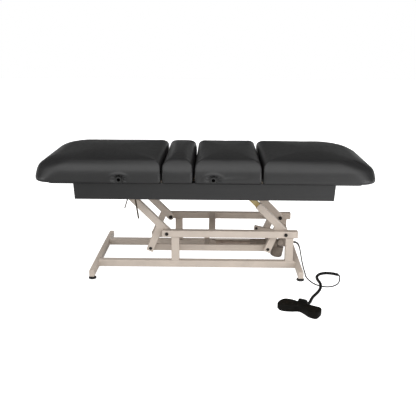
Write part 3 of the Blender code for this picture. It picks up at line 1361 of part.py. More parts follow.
def build():
    table = Table()
    table.material("frame_paint", (0.60, 0.51, 0.42), 0.45)
    table.material("black_rubber", (0.02, 0.02, 0.02), 0.75)
    table.material("bolt_black", (0.03, 0.03, 0.03), 0.5)
    table.material("steel", (0.55, 0.55, 0.55), 0.35, 1.0)
    table.material("zinc", (0.55, 0.48, 0.30), 0.35, 1.0)
    table.material("chrome", (0.75, 0.75, 0.75), 0.15, 1.0)
    table.material("motor_grey", (0.11, 0.10, 0.09), 0.55)
    table.material("vinyl", (0.035, 0.035, 0.035), 0.45)
    table.material("deck_wood", (0.30, 0.20, 0.12), 0.6)
    table.material("spring_black", (0.03, 0.03, 0.03), 0.3)
    table.material("socket_steel", (0.20, 0.20, 0.20), 0.4, 1.0)
    table.material("pedal_black", (0.03, 0.03, 0.03), 0.5)
    table.material("cord_black", (0.03, 0.03, 0.03), 0.6)

    pivots = [Vector((x, 0, UPPER_RAIL_Z)) for x in (LIFT_PIVOT_LEFT_X, LIFT_PIVOT_RIGHT_X)]
    shafts = [p + arm_way() * ARM_LENGTH for p in pivots]
    root = table.root
    base = table.empty("body_base", root, Vector())
    left = table.empty("body_left_crank", root, pivots[0])
    right = table.empty("body_right_crank", root, pivots[1])
    link_body = table.empty("body_link", root, pivots[0] + link_pin())
    rear_pin = Vector((ACTUATOR_PIN_X, 0, ACTUATOR_PIN_Z))
    rod_pin = Vector((ROD_PIN_X, 0, ROD_PIN_Z))
    actuator = table.empty("body_actuator", root, rear_pin)
    rod = table.empty("body_actuator_rod", root, rod_pin)
    carried = table.empty("body_carried_frame", root, shafts[0])

    base_frame(table, base)
    feet(table, base)
    pivot_bolts(table, base)
    actuator_mount(table, base)
    for side in SIDE_NAMES:
        crank(table, left, pivots[0], side, "left", ARM_LENGTH + ARM_END)
        crank(table, right, pivots[1], side, "right", RIGHT_ARM_TUBE_LENGTH)
        channel(table, right, pivots[1], side)
    crank_shaft(table, left, pivots[0], "left")
    crank_shaft(table, right, pivots[1], "right")
    link(table, link_body, pivots)
    actuator_body(table, actuator, rear_pin)
    actuator_rod(table, rod, rod_pin)
    carried_frame(table, carried, pivots)
    aprons(table, carried)
    centre_deck(table, carried)

    for end, hinge in hinges().items():
        fixed, moving = spring_ends(end)
        section = table.empty(f"body_{end}_section", root, hinge)
        cylinder = table.empty(f"body_gas_cylinder_{end}", root, fixed)
        spring_rod = table.empty(f"body_gas_rod_{end}", root, moving)
        section_deck(table, section, end)
        padded = cushion(table, section, end)
        gas_spring(table, cylinder, spring_rod, end)
        if end == "back":
            socket(table, section, "back", SOCKET_BACK_X, padded)
    cushion(table, carried, "narrow")
    seat = cushion(table, carried, "seat")
    socket(table, carried, "seat", SOCKET_SEAT_X, seat)

    long_lever = table.empty("body_long_lever", root, (LONG_LEVER_PIVOT_X, LEVER_Y, lever_pivot_z()))
    short_lever = table.empty("body_short_lever", root, (SHORT_LEVER_PIVOT_X, LEVER_Y, lever_pivot_z()))
    release_lever(
        table, long_lever, "back", LONG_LEVER_PIVOT_X, LONG_LEVER_TIP_X, LONG_LEVER_DROP, LONG_LEVER_RADIUS
    )
    release_lever(
        table, short_lever, "leg", SHORT_LEVER_PIVOT_X, SHORT_LEVER_TIP_X, SHORT_LEVER_DROP,
        SHORT_LEVER_RADIUS
    )

    pedal_at = Vector((PEDAL_X, PEDAL_Y, 0))
    rocker = table.empty("body_pedal_rocker", root, pedal_at + Vector((0, 0, PEDAL_AXIS_Z)))
    pedal(table, base, rocker, pedal_at)
    cord_solid(table, base, "pedal_cord", CORD_ROUTE, CORD_DIAMETER, CORD_STEPS, 2)
    cord_solid(table, base, "pedal_cord_sleeve", sleeve_route(pedal_at), SLEEVE_DIAMETER, SLEEVE_STEPS, 3)
    settle(table)


build()
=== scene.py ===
"""Looks of the treatment table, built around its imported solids. Metres, in the row frame."""

import math

import bmesh
import bpy
from mathutils import Matrix, Vector


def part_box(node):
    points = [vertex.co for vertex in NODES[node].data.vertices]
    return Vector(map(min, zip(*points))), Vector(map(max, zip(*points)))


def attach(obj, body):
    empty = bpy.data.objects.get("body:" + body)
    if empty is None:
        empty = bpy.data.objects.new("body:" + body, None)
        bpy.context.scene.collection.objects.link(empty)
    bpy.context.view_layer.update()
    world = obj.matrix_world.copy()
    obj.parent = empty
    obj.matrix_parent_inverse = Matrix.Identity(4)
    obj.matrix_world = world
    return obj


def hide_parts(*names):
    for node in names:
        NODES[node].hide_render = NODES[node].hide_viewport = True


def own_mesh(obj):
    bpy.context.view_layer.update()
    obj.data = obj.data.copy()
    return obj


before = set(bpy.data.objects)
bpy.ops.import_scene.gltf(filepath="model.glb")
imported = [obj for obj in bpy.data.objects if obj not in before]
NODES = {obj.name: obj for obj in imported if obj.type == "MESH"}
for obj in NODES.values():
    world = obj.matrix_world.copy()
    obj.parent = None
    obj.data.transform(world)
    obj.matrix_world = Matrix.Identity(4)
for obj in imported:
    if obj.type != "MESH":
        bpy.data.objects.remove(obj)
scene = bpy.context.scene
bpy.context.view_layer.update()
# Table coordinates, as in the part's source, begin this far back in the row frame
SHIFT = Vector((0, 0.246551, 0))


# Small tools
def add_object(name, data):
    made = bpy.data.objects.new(name, data)
    scene.collection.objects.link(made)
    return made


def mesh_object(name, build, finish, smooth=40):
    bm = bmesh.new()
    build(bm)
    mesh = bpy.data.meshes.new(name)
    bm.to_mesh(mesh)
    bm.free()
    made = add_object(name, mesh)
    mesh.materials.append(finish)
    mesh.shade_smooth()
    if smooth:
        mesh.set_sharp_from_angle(angle=math.radians(smooth))
    return made


def evaluated(made):
    """The object with its modifiers applied."""
    depsgraph = bpy.context.evaluated_depsgraph_get()
    mesh = bpy.data.meshes.new_from_object(made.evaluated_get(depsgraph))
    made.modifiers.clear()
    old = made.data
    made.data = mesh
    bpy.data.meshes.remove(old)
    return made


def modified(made, kind, **values):
    """The object with one more modifier, applied."""
    step = made.modifiers.new(kind.lower(), kind)
    for key, value in values.items():
        setattr(step, key, value)
    return evaluated(made)


def bend(p0, p1, p2, p3, steps):
    """Points from p1 on towards p2, along a smooth curve through all four."""
    made = []
    for k in range(steps):
        t = k / steps
        made.append(0.5 * (
            2 * p1 + (p2 - p0) * t + (2 * p0 - 5 * p1 + 4 * p2 - p3) * t * t
            + (3 * p1 - p0 - 3 * p2 + p3) * t * t * t
        ))
    return made


def run_lengths(points):
    """The length of the way up to each point."""
    lengths = [0.0]
    for a, b in zip(points, points[1:]):
        lengths.append(lengths[-1] + (b - a).length)
    return lengths


def smooth_route(points, steps):
    """Points at even spacing along a smooth curve through the route's own points, and its length."""
    route = [Vector(p) for p in points]
    last = len(route) - 1
    dense = []
    for i in range(last):
        dense += bend(route[max(i - 1, 0)], route[i], route[i + 1], route[min(i + 2, last)], 8)
    dense.append(route[-1])
    lengths = run_lengths(dense)
    spaced = []
    j = 0
    for i in range(steps):
        target = lengths[-1] * i / (steps - 1)
        while j < len(lengths) - 2 and lengths[j + 1] < target:
            j += 1
        t = (target - lengths[j]) / (lengths[j + 1] - lengths[j])
        spaced.append(dense[j].lerp(dense[j + 1], min(t, 1.0)))
    return spaced, lengths[-1]


def smooth_loop(points, count):
    """Evenly spaced points on a smooth closed curve."""
    route = [Vector((p[0], p[1], 0)) for p in points]
    total = len(route)
    dense = []
    for i in range(total):
        dense += bend(*(route[(i + k) % total] for k in (-1, 0, 1, 2)), 10)
    dense.append(dense[0])
    lengths = run_lengths(dense)
    loop, j = [], 0
    for i in range(count):
        target = lengths[-1] * i / count
        while lengths[j + 1] < target:
            j += 1
        loop.append(dense[j].lerp(dense[j + 1], (target - lengths[j]) / (lengths[j + 1] - lengths[j])))
    return loop


def arc(centre, radius, start, end, steps):
    angles = [start + (end - start) * i / steps for i in range(steps + 1)]
    return [(centre[0] + radius * math.cos(a), centre[1] + radius * math.sin(a)) for a in angles]


def circle(centre, side, up, radius, sides):
    return [
        centre + (side * math.cos(math.tau * k / sides) + up * math.sin(math.tau * k / sides)) * radius
        for k in range(sides)
    ]


def stack(bm, rings):
    """Skins a stack of rings of points, and closes its ends."""
    made = [[bm.verts.new(p) for p in ring] for ring in rings]
    for a, b in zip(made, made[1:]):
        for i in range(len(a)):
            j = (i + 1) % len(a)
            bm.faces.new((a[i], a[j], b[j], b[i]))
    bm.faces.new(list(reversed(made[0])))
    bm.faces.new(made[-1])


def turn_out(bm):
    bmesh.ops.recalc_face_normals(bm, faces=bm.faces)


def tube_curve(name, points, radius, finish, resolution):
    curve = bpy.data.curves.new(name, "CURVE")
    curve.dimensions = "3D"
    curve.bevel_depth = radius
    curve.bevel_resolution = resolution
    curve.use_fill_caps = True
    spline = curve.splines.new("POLY")
    spline.points.add(len(points) - 1)
    for spot, point in zip(spline.points, points):
        spot.co = (*point, 1.0)
    curve.materials.append(finish)
    return add_object(name, curve)


def swept_mesh(name, points, radii, finish, sides=20, smooth=40):
    """A round solid along a route, with its own radius at each point."""

    def build(bm):
        rings = []
        for i, (point, radius) in enumerate(zip(points, radii)):
            way = (points[min(i + 1, len(points) - 1)] - points[max(i - 1, 0)]).normalized()
            side = way.cross(Vector((0, 0, 1)))
            if side.length < 0.05:
                side = way.cross(Vector((0, 1, 0)))
            side.normalize()
            rings.append(circle(point, side, side.cross(way), radius, sides))
        stack(bm, rings)
        turn_out(bm)

    return mesh_object(name, build, finish, smooth)


def put(piece, body):
    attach(piece, body)


# Camera
CAMERA_AT = Vector((0.0569, -3.8111, 1.3640))
CAMERA_YAW = -0.011280
CAMERA_PITCH = 0.268013
CAMERA_ROLL = 0.006239
CAMERA_LENS = 57.115
CAMERA_SENSOR = 36


def make_camera():
    data = bpy.data.cameras.new("camera")
    data.sensor_width = CAMERA_SENSOR
    data.lens = CAMERA_LENS
    camera = add_object("camera", data)
    cy, sy = math.cos(CAMERA_YAW), math.sin(CAMERA_YAW)
    cp, sp = math.cos(CAMERA_PITCH), math.sin(CAMERA_PITCH)
    cr, sr = math.cos(CAMERA_ROLL), math.sin(CAMERA_ROLL)
    ahead = Vector((sy * cp, cy * cp, -sp))
    level = Vector((cy, -sy, 0))
    above = level.cross(ahead)
    side = cr * level + sr * above
    up = cr * above - sr * level
    turn = Matrix((side, up, -ahead)).transposed().to_4x4()
    camera.matrix_world = Matrix.Translation(CAMERA_AT + SHIFT) @ turn
    scene.camera = camera


# Node trees
class Nodes:
    """A node tree that is put together from sockets and plain numbers."""

    def __init__(self, tree):
        self.tree = tree

    def node(self, kind, **values):
        made = self.tree.nodes.new(kind)
        for key, value in values.items():
            setattr(made, key, value)
        return made

    def link(self, a, b):
        self.tree.links.new(a, b)

    def feed(self, source, socket):
        if isinstance(source, (int, float)):
            socket.default_value = source
        else:
            self.link(source, socket)

    def calc(self, operation, *sources):
        made = self.node("ShaderNodeMath", operation=operation)
        for source, socket in zip(sources, made.inputs):
            self.feed(source, socket)
        return made.outputs[0]

    def split(self, source):
        made = self.node("ShaderNodeSeparateXYZ")
        self.link(source, made.inputs["Vector"])
        return made.outputs

    def spread(self, source, low, high, from_low=0.3, from_high=0.7, kind="LINEAR"):
        made = self.node("ShaderNodeMapRange", interpolation_type=kind)
        self.link(source, made.inputs["Value"])
        made.inputs["From Min"].default_value = from_low
        made.inputs["From Max"].default_value = from_high
        made.inputs["To Min"].default_value = low
        made.inputs["To Max"].default_value = high
        return made.outputs["Result"]


class Look(Nodes):
    """A Principled material with a few procedural layers, in metres of the row frame."""

    def __init__(self, name, colour, roughness, metallic=0.0):
        self.material = bpy.data.materials.new(name)
        self.material.use_nodes = True
        super().__init__(self.material.node_tree)
        self.shader = self.tree.nodes["Principled BSDF"]
        self.shader.inputs["Metallic"].default_value = metallic
        self.shader.inputs["Base Color"].default_value = (*colour, 1)
        self.shader.inputs["Roughness"].default_value = roughness
        self.place = self.node("ShaderNodeTexCoord").outputs["Object"]
        self.height = None

    def scaled(self, scale):
        mapping = self.node("ShaderNodeMapping")
        self.link(self.place, mapping.inputs["Vector"])
        mapping.inputs["Scale"].default_value = scale
        return mapping.outputs["Vector"]

    def noise(self, scale, detail=3.0, rough=0.5, stretch=(1, 1, 1), distortion=0.0):
        made = self.node("ShaderNodeTexNoise")
        made.inputs["Scale"].default_value = scale
        made.inputs["Detail"].default_value = detail
        made.inputs["Roughness"].default_value = rough
        made.inputs["Distortion"].default_value = distortion
        self.link(self.scaled(stretch), made.inputs["Vector"])
        return made.outputs["Fac"]

    def cells(self, scale):
        """The distance to the nearest edge in a net of cells."""
        made = self.node("ShaderNodeTexVoronoi", feature="DISTANCE_TO_EDGE")
        made.inputs["Scale"].default_value = scale
        self.link(self.place, made.inputs["Vector"])
        return made.outputs["Distance"]

    def tint(self, source, low, high, from_low=0.3, from_high=0.7):
        """Colour that runs between two shades with a source."""
        mix = self.node("ShaderNodeMix", data_type="RGBA")
        self.link(self.spread(source, 0, 1, from_low, from_high), mix.inputs["Factor"])
        mix.inputs["A"].default_value = (*low, 1)
        mix.inputs["B"].default_value = (*high, 1)
        self.link(mix.outputs["Result"], self.shader.inputs["Base Color"])

    def overlay(self, source, colour, from_low, from_high):
        """Another colour over the tint, where a source is high."""
        socket = self.shader.inputs["Base Color"]
        mix = self.node("ShaderNodeMix", data_type="RGBA")
        self.link(socket.links[0].from_socket, mix.inputs["A"])
        mix.inputs["B"].default_value = (*colour, 1)
        self.link(self.spread(source, 0, 1, from_low, from_high), mix.inputs["Factor"])
        self.link(mix.outputs["Result"], socket)

    def gloss(self, source, low, high):
        self.link(self.spread(source, low, high), self.shader.inputs["Roughness"])

    def bump(self, source, depth, strength=1.0):
        """Adds a layer of relief, its depth in metres."""
        made = self.node("ShaderNodeBump")
        made.inputs["Strength"].default_value = strength
        made.inputs["Distance"].default_value = depth
        self.link(source, made.inputs["Height"])
        if self.height:
            self.link(self.height, made.inputs["Normal"])
        self.height = made.outputs["Normal"]
        self.link(self.height, self.shader.inputs["Normal"])

    def set(self, name, value):
        self.shader.inputs[name].default_value = value


def shades(colour, dark, light):
    """A darker and a lighter shade of a colour."""
    return tuple(c * dark for c in colour), tuple(min(c * light, 1) for c in colour)


# Looks
def vinyl_look(name, colour, creases=1.0):
    """Upholstery vinyl: a fine leather grain, soft gloss and a slow swell of the foam below."""
    look = Look(name, colour, 0.50)
    look.tint(look.noise(6, 3), *shades(colour, 0.90, 1.10))
    look.gloss(look.noise(38, 3), 0.36, 0.42)
    look.bump(look.noise(4.5, 2, 0.4), 0.0040 * creases, 0.25)
    look.bump(look.cells(720), 0.00016, 0.5)
    look.bump(look.noise(1500, 2), 0.00008, 0.5)
    look.set("Specular IOR Level", 0.50)
    return look.material


def paint_look(name, colour):
    """Enamel with faint blotches and small worn specks."""
    look = Look(name, colour, 0.38)
    look.tint(look.noise(11, 4), *shades(colour, 0.94, 1.04))
    worn, aged = shades(colour, 0.62, 0.90)
    look.overlay(look.noise(190, 5, 0.72), worn, 0.70, 0.76)
    look.overlay(look.noise(7, 5, 0.6), aged, 0.55, 0.72)
    look.gloss(look.noise(60, 2), 0.30, 0.42)
    look.bump(look.noise(420, 2), 0.00012, 0.5)
    return look.material


def moulded_look(name, colour, roughness, grain=900, specular=0.5):
    look = Look(name, colour, roughness)
    look.tint(look.noise(30, 4), *shades(colour, 0.8, 1.25))
    look.gloss(look.noise(80, 3), roughness - 0.07, roughness + 0.08)
    look.bump(look.noise(grain, 2), 0.00012, 0.6)
    look.set("Specular IOR Level", specular)
    return look.material


def metal_look(name, colour, roughness, stretch=(1, 1, 1)):
    look = Look(name, colour, roughness, 1.0)
    look.tint(look.noise(45, 4), *shades(colour, 0.85, 1.08))
    look.gloss(look.noise(160, 4, stretch=stretch), roughness * 0.7, roughness * 1.35)
    look.bump(look.noise(700, 3, stretch=stretch), 0.00002, 0.5)
    return look.material


# The margin of a deck that the vinyl goes round
WRAP_MARGIN = 0.030


def deck_look(name):
    """Plywood whose edges and the margin below are wrapped in the cover of the cushion above it."""
    low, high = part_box(name)
    middle, half = (low + high) / 2, (high - low) / 2
    wood = Look(f"plywood_{name}", (0.36, 0.24, 0.14), 0.6)
    wood.tint(wood.noise(14, 6, 0.65, (1, 14, 14), 0.4), (0.30, 0.19, 0.10), (0.46, 0.32, 0.19))
    wood.overlay(wood.noise(5, 3, 0.6, (1, 9, 1)), (0.24, 0.15, 0.08), 0.55, 0.75)
    split = wood.split(wood.place)
    edges = []
    for axis in (0, 1):
        off = wood.calc("ABSOLUTE", wood.calc("SUBTRACT", split[axis], middle[axis]))
        edges.append(wood.calc("SUBTRACT", off, half[axis] - WRAP_MARGIN))
    ragged = wood.calc("ADD", wood.calc("MAXIMUM", *edges), wood.spread(wood.noise(22, 3), -0.005, 0.005))
    wood.overlay(ragged, (0.0110, 0.0110, 0.0112), 0.0, 0.0008)
    wood.bump(wood.spread(ragged, 0, 1, 0.0, 0.0012), 0.0008, 0.8)
    wood.bump(wood.noise(160, 4, stretch=(1, 20, 20)), 0.0003, 0.5)
    return wood.material


def make_looks():
    looks = {
        "vinyl": vinyl_look("vinyl_black", (0.0125, 0.0125, 0.0128)),
        "apron": vinyl_look("vinyl_apron", (0.0118, 0.0118, 0.0121), creases=0.5),
        "paint": paint_look("enamel_putty", (0.540, 0.468, 0.404)),
        "seam": moulded_look("seam_black", (0.006, 0.006, 0.006), 0.55, 2400),
        "rubber": moulded_look("rubber_black", (0.010, 0.010, 0.010), 0.6),
        "bolt": metal_look("bolt_black", (0.040, 0.036, 0.034), 0.42),
        "steel": metal_look("steel_turned", (0.56, 0.56, 0.56), 0.30, (1, 60, 1)),
        "chrome": metal_look("chrome_rod", (0.78, 0.78, 0.80), 0.14, (60, 1, 1)),
        "rod": metal_look("rod_dull", (0.42, 0.34, 0.29), 0.50, (60, 1, 1)),
        "socket": moulded_look("socket_dark", (0.014, 0.014, 0.014), 0.38),
        "spring": moulded_look("spring_gloss_black", (0.018, 0.018, 0.020), 0.24),
        "motor": moulded_look("motor_grey", (0.240, 0.200, 0.165), 0.55, 1400),
        "pedal": moulded_look("pedal_black", (0.0050, 0.0045, 0.0036), 0.60, 1300, 0.07),
        "tread": moulded_look("tread_black", (0.0080, 0.0066, 0.0048), 0.50, 1300, 0.10),
        "cord": moulded_look("cord_black", (0.0050, 0.0050, 0.0048), 0.50, 1600, 0.12),
    }

    zinc = Look("zinc_yellow", (0.48, 0.38, 0.19), 0.38, 1.0)
    zinc.tint(zinc.noise(26, 4, distortion=0.8), (0.27, 0.19, 0.075), (0.37, 0.31, 0.17))
    zinc.overlay(zinc.noise(17, 2), (0.34, 0.22, 0.22), 0.54, 0.68)
    zinc.gloss(zinc.noise(200, 3), 0.26, 0.42)
    looks["zinc"] = zinc.material

    bronze = Look("lever_bronze", (0.060, 0.042, 0.022), 0.38, 0.5)
    bronze.tint(bronze.noise(60, 3), (0.036, 0.025, 0.012), (0.070, 0.050, 0.026))
    bronze.gloss(bronze.noise(200, 3), 0.3, 0.45)
    looks["lever"] = bronze.material
    return looks


# Cords
CORD_DIAMETER = 0.0070
SLEEVE_DIAMETER = 0.0160
CORD_ROUTE = (
    (0.5172, -0.1100, 0.1450), (0.5222, -0.1100, 0.1450), (0.5313, -0.1100, 0.1436),
    (0.5395, -0.1103, 0.1397), (0.5463, -0.1108, 0.1335), (0.5509, -0.1115, 0.1256),
    (0.5548, -0.1125, 0.1150), (0.5592, -0.1142, 0.0990), (0.5632, -0.1168, 0.0800),
    (0.5668, -0.1210, 0.0600), (0.5702, -0.1285, 0.0400), (0.5735, -0.1412, 0.0226),
    (0.5757, -0.1620, 0.0104), (0.5765, -0.1920, 0.0046), (0.5764, -0.2350, 0.0036),
    (0.5757, -0.2552, 0.0036), (0.5743, -0.2753, 0.0036), (0.5740, -0.2995, 0.0036),
    (0.5762, -0.3196, 0.0036), (0.5802, -0.3393, 0.0036), (0.5852, -0.3589, 0.0036),
    (0.5909, -0.3783, 0.0036), (0.5980, -0.3971, 0.0036), (0.6099, -0.4182, 0.0036),
    (0.6229, -0.4335, 0.0036), (0.6390, -0.4457, 0.0036), (0.6578, -0.4528, 0.0036),
    (0.6779, -0.4534, 0.0036), (0.6969, -0.4472, 0.0036), (0.7163, -0.4327, 0.0036),
    (0.7291, -0.4172, 0.0036), (0.7394, -0.3999, 0.0036), (0.7474, -0.3813, 0.0036),
    (0.7527, -0.3619, 0.0036), (0.7571, -0.3422, 0.0036), (0.7628, -0.3186, 0.0046),
    (0.7640, -0.2986, 0.0068), (0.7603, -0.2871, 0.0079), (0.7568, -0.2815, 0.0083),
)
SLEEVE_ROUTE = (
    (0.7557, -0.2805, 0.0083), (0.7442, -0.2716, 0.0083), (0.7225, -0.2611, 0.0083),
    (0.6889, -0.2585, 0.0083), (0.6552, -0.2763, 0.0083), (0.6360, -0.3095, 0.0085),
    (0.6304, -0.3478, 0.0095), (0.6316, -0.3866, 0.0123), (0.6341, -0.4253, 0.0158),
    (0.6326, -0.4640, 0.0154), (0.6242, -0.5018, 0.0120), (0.6092, -0.5375, 0.0095),
    (0.5904, -0.5715, 0.0087), (0.5721, -0.6056, 0.0088), (0.5576, -0.6416, 0.0088),
    (0.5457, -0.6785, 0.0101),
)
PEDAL_AT = Vector((0.4815, -0.7700, 0))
PEDAL_TURN = math.radians(-35.0)
# Where the thick end goes into the foot switch, in the switch's own coordinates
SLEEVE_ENTRY = Vector((0.0060, 0.05755, 0.0135))
SLEEVE_STRAIGHT = Vector((0.0060, 0.07355, 0.0135))
# Way along the cord and radius
FERRULE_PROFILE = (
    (-0.016, 0.0038), (-0.012, 0.0046), (-0.006, 0.0058), (0, 0.0070), (0.003, 0.0074), (0.010, 0.0074),
    (0.0105, 0.0071),
)
RELIEF_RADIUS = 0.0068
RELIEF_WALL = 0.0008
RELIEF_GROOVE = 0.86


def make_ferrule(points, looks):
    """The tapered collar over the joint of the thin cord and its thick end."""
    end, before = points[-1], points[-3]
    way = (end - before).normalized()
    line = [end + way * step for step, _ in FERRULE_PROFILE]
    made = swept_mesh("cord_ferrule", line, [r for _, r in FERRULE_PROFILE], looks["rubber"], 24)
    put(made, "base")
    return made


def make_strain_relief(points, looks):
    """A ribbed, tapered sleeve over the first stretch of the cord."""
    line, radii = [], []
    count = len(points) - 1
    slim = CORD_DIAMETER / 2 + RELIEF_WALL
    for i in range(count):
        for k in range(4):
            t = (i + k / 4) / count
            line.append(points[i].lerp(points[i + 1], k / 4))
            rib = 1.0 if k in (0, 1) else RELIEF_GROOVE
            radii.append((RELIEF_RADIUS + (slim - RELIEF_RADIUS) * t) * rib)
    made = swept_mesh("gland_relief", line, radii, looks["rubber"], 20, 25)
    put(made, "base")
    return made


def lay_cord(name, route, steps, diameter, resolution, node, looks):
    """A cord along its route, in the place of its node; gives its points and its length too."""
    points, length = smooth_route(route, steps)
    points = [p + SHIFT for p in points]
    cord = tube_curve(name, points, diameter / 2, looks["cord"], resolution)
    put(cord, "base")
    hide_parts(node)
    return cord, points, length


def make_cords(looks):
    cord, points, length = lay_cord("foot_switch_cord", CORD_ROUTE, 160, CORD_DIAMETER, 5, "pedal_cord", looks)
    ferrule = make_ferrule(points, looks)
    relief = make_strain_relief(points[:14], looks)
    turn = Matrix.Rotation(PEDAL_TURN, 3, "Z")
    route = SLEEVE_ROUTE + tuple(tuple(PEDAL_AT + turn @ v) for v in (SLEEVE_STRAIGHT, SLEEVE_ENTRY))
    sleeve, points, length = lay_cord(
        "foot_switch_cord_sleeve", route, 110, SLEEVE_DIAMETER, 6, "pedal_cord_sleeve", looks
    )


# Cushions
TOP_LENGTH = 1.860
TOP_WIDTH = 0.760
GAPS_X = (-0.2350, -0.0605, 0.3100)
SECTION_GAP = 0.0050
GAP_SHUT = 0.0017
CUSHION_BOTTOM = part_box("cushion_seat")[0].z
CUSHION_HEIGHT = 0.1245
CROWN = 0.0080
# The soft shoulder along the sides, towards a neighbour and at an outer end: width, height and fullness
SIDE_ROUND = (0.0700, 0.1010, 2.3)
INNER_ROUND = (0.0420, 0.0345, 2)
OUTER_ROUND = (0.1300, 0.0704, 2)
BOTTOM_ROUND = 0.0120
INNER_BOTTOM_ROUND = 0.0030
# The corners of an outer end are tighter at the deck than higher up
END_CORNER = 0.1480
END_CORNER_LOW = 0.1000
CORNER_OPENS = (0.015, 0.055)
INNER_CORNER = 0.0105
# How far the top falls towards an outer end
END_DROP = {"back": 0.0017, "leg": 0.0236}
DROP_REACH = 0.3270
LOW_HEIGHTS = (0, 0.0009, 0.0035, 0.0073, 0.0120, 0.0180, 0.0260)
TOP_SHARES = (0.12, 0.26, 0.42, 0.60, 0.80)
# Hinge axes of the tilting sections, and the crossways sockets
HINGE_X = {"back": -0.2925, "leg": 0.3675}
HINGE_Z = CUSHION_BOTTOM + 0.0558
SOCKET_X = {"back": -0.4610, "seat": 0.0460}
SOCKET_Z = CUSHION_BOTTOM + 0.0214
SOCKET_HOLE = 0.0127
# Name, body and the way to its outer end, from left to right
CUSHIONS = (
    ("back", "back_section", -1), ("narrow", "top_frame", 0), ("seat", "top_frame", 0), ("leg", "leg_section", 1),
)
# The foam of these two would give way to the raised edge of the section beside it; here each only gets a mesh of its
# own, and the numbers listed are not read
SQUEEZED = {
    "narrow": ("back_section_tilt", GAPS_X[1], 0.915),
    "seat": ("leg_section_tilt", GAPS_X[1], 0.970),
}


def inset_at(height, shoulder, bottom):
    """How far a side is drawn in at a height: a small round below, a soft shoulder above."""
    inset = 0.0
    if height < bottom:
        inset = bottom - math.sqrt(max(bottom ** 2 - (bottom - height) ** 2, 0))
    width, reach, power = shoulder
    start = CUSHION_HEIGHT - reach
    if height > start:
        share = min((height - start) / reach, 1.0)
        inset += width * (1 - max(1 - share ** power, 0) ** (1 / power))
    return inset


def corner_at(height, corner):
    share = min(max((height - CORNER_OPENS[0]) / CORNER_OPENS[1], 0), 1)
    low = min(corner, END_CORNER_LOW)
    return low + (corner - low) * share * share * (3 - 2 * share)


def cushion_loop(half_x, half_y, corners, insets):
    """A rounded rectangle, drawn in by its own amount at the right, at the left and along the sides."""
    loop = []
    quarter = math.pi / 2
    right, left, side = insets
    for index, (sx, sy) in enumerate(((1, -1), (1, 1), (-1, 1), (-1, -1))):
        radius = corners[0] if sx > 0 else corners[1]
        kept = max(radius - 0.4 * side, radius * 0.5)
        edge_x = half_x - (right if sx > 0 else left)
        centre = (sx * (edge_x - kept), sy * (half_y - side - kept))
        start = -quarter + index * quarter
        loop += arc(centre, kept, start, start + quarter, 8)
    return loop


def cushion_form(name, spans, corners, outer, finish):
    """A closed, crowned form with soft shoulders."""
    left, right = spans
    half_x = (right - left) / 2
    half_y = TOP_WIDTH / 2
    middle = Vector(((left + right) / 2, SHIFT.y, CUSHION_BOTTOM))
    kinds = [(OUTER_ROUND, BOTTOM_ROUND) if way == outer else (INNER_ROUND, INNER_BOTTOM_ROUND) for way in (1, -1)]
    kinds.append((SIDE_ROUND, BOTTOM_ROUND))
    heights = list(LOW_HEIGHTS)
    start = CUSHION_HEIGHT - SIDE_ROUND[1]
    heights += [start + SIDE_ROUND[1] * math.sin(math.radians(a)) for a in range(15, 91, 9)]
    heights.append(CUSHION_HEIGHT)
    drop = END_DROP.get(name, 0)

    def place(x, y, height):
        if outer:
            near = max(0.0, 1 - (half_x - x * outer) / DROP_REACH)
            height -= drop * near * near * min(height / CUSHION_HEIGHT, 1) ** 2
        return middle + Vector((x, y, height))

    def build(bm):
        rings = []
        for height in heights:
            insets = [inset_at(height, *kind) for kind in kinds]
            points = cushion_loop(half_x, half_y, [corner_at(height, c) for c in corners], insets)
            rings.append([place(x, y, height) for x, y in points])
        for share in TOP_SHARES:
            top = CUSHION_HEIGHT + CROWN * (1 - (1 - share) ** 2)
            rings.append([place(x * (1 - share), y * (1 - share), top) for x, y in points])
        stack(bm, rings)
        turn_out(bm)

    return mesh_object(f"padded_{name}", build, finish, 0)


# The cover is pumped up as cloth, and may move this far from its form
CLOTH = {
    "quality": 5, "mass": 0.4, "tension_stiffness": 12, "compression_stiffness": 12, "shear_stiffness": 6,
    "bending_stiffness": 0.8, "use_pressure": True, "uniform_pressure_force": 4, "vertex_group_mass": "held",
    "pin_stiffness": 1.0,
}
CLOTH_FRAMES = 18
CLOTH_REACH = 0.0035
CLOTH_VOXEL = 0.0085
HELD_HEIGHT = 0.0140


def remeshed(made, voxel):
    return modified(made, "REMESH", mode="VOXEL", voxel_size=voxel)


def inflate(made):
    """Pumps the form up like foam under stretched vinyl."""
    remeshed(made, CLOTH_VOXEL)
    rest = [v.co.copy() for v in made.data.vertices]
    held = made.vertex_groups.new(name="held")
    for v in made.data.vertices:
        low = (v.co.z - CUSHION_BOTTOM) / HELD_HEIGHT
        if low < 1:
            held.add([v.index], max(0.0, 1 - max(low, 0)), "REPLACE")
    cloth = made.modifiers.new("cloth", "CLOTH")
    for key, value in CLOTH.items():
        setattr(cloth.settings, key, value)
    cloth.settings.effector_weights.gravity = 0
    cloth.collision_settings.use_collision = False
    cloth.point_cache.frame_start = 1
    cloth.point_cache.frame_end = CLOTH_FRAMES
    for step in range(1, CLOTH_FRAMES + 1):
        scene.frame_set(step)
    evaluated(made)
    for v, start in zip(made.data.vertices, rest):
        move = v.co - start
        if move.length > CLOTH_REACH:
            move *= CLOTH_REACH / move.length
        v.co = start + move
    scene.frame_set(1)


def fit_box(made, low, high):
    """Stretches a piece a little, so that its box is the one that is meant for it."""
    verts = made.data.vertices
    for axis in range(3):
        a = min(v.co[axis] for v in verts)
        b = max(v.co[axis] for v in verts)
        scale = (high[axis] - low[axis]) / (b - a)
        for v in verts:
            v.co[axis] = low[axis] + (v.co[axis] - a) * scale


def cutter(name, build):
    bm = bmesh.new()
    build(bm)
    mesh = bpy.data.meshes.new(name)
    bm.to_mesh(mesh)
    bm.free()
    return add_object(name, mesh)


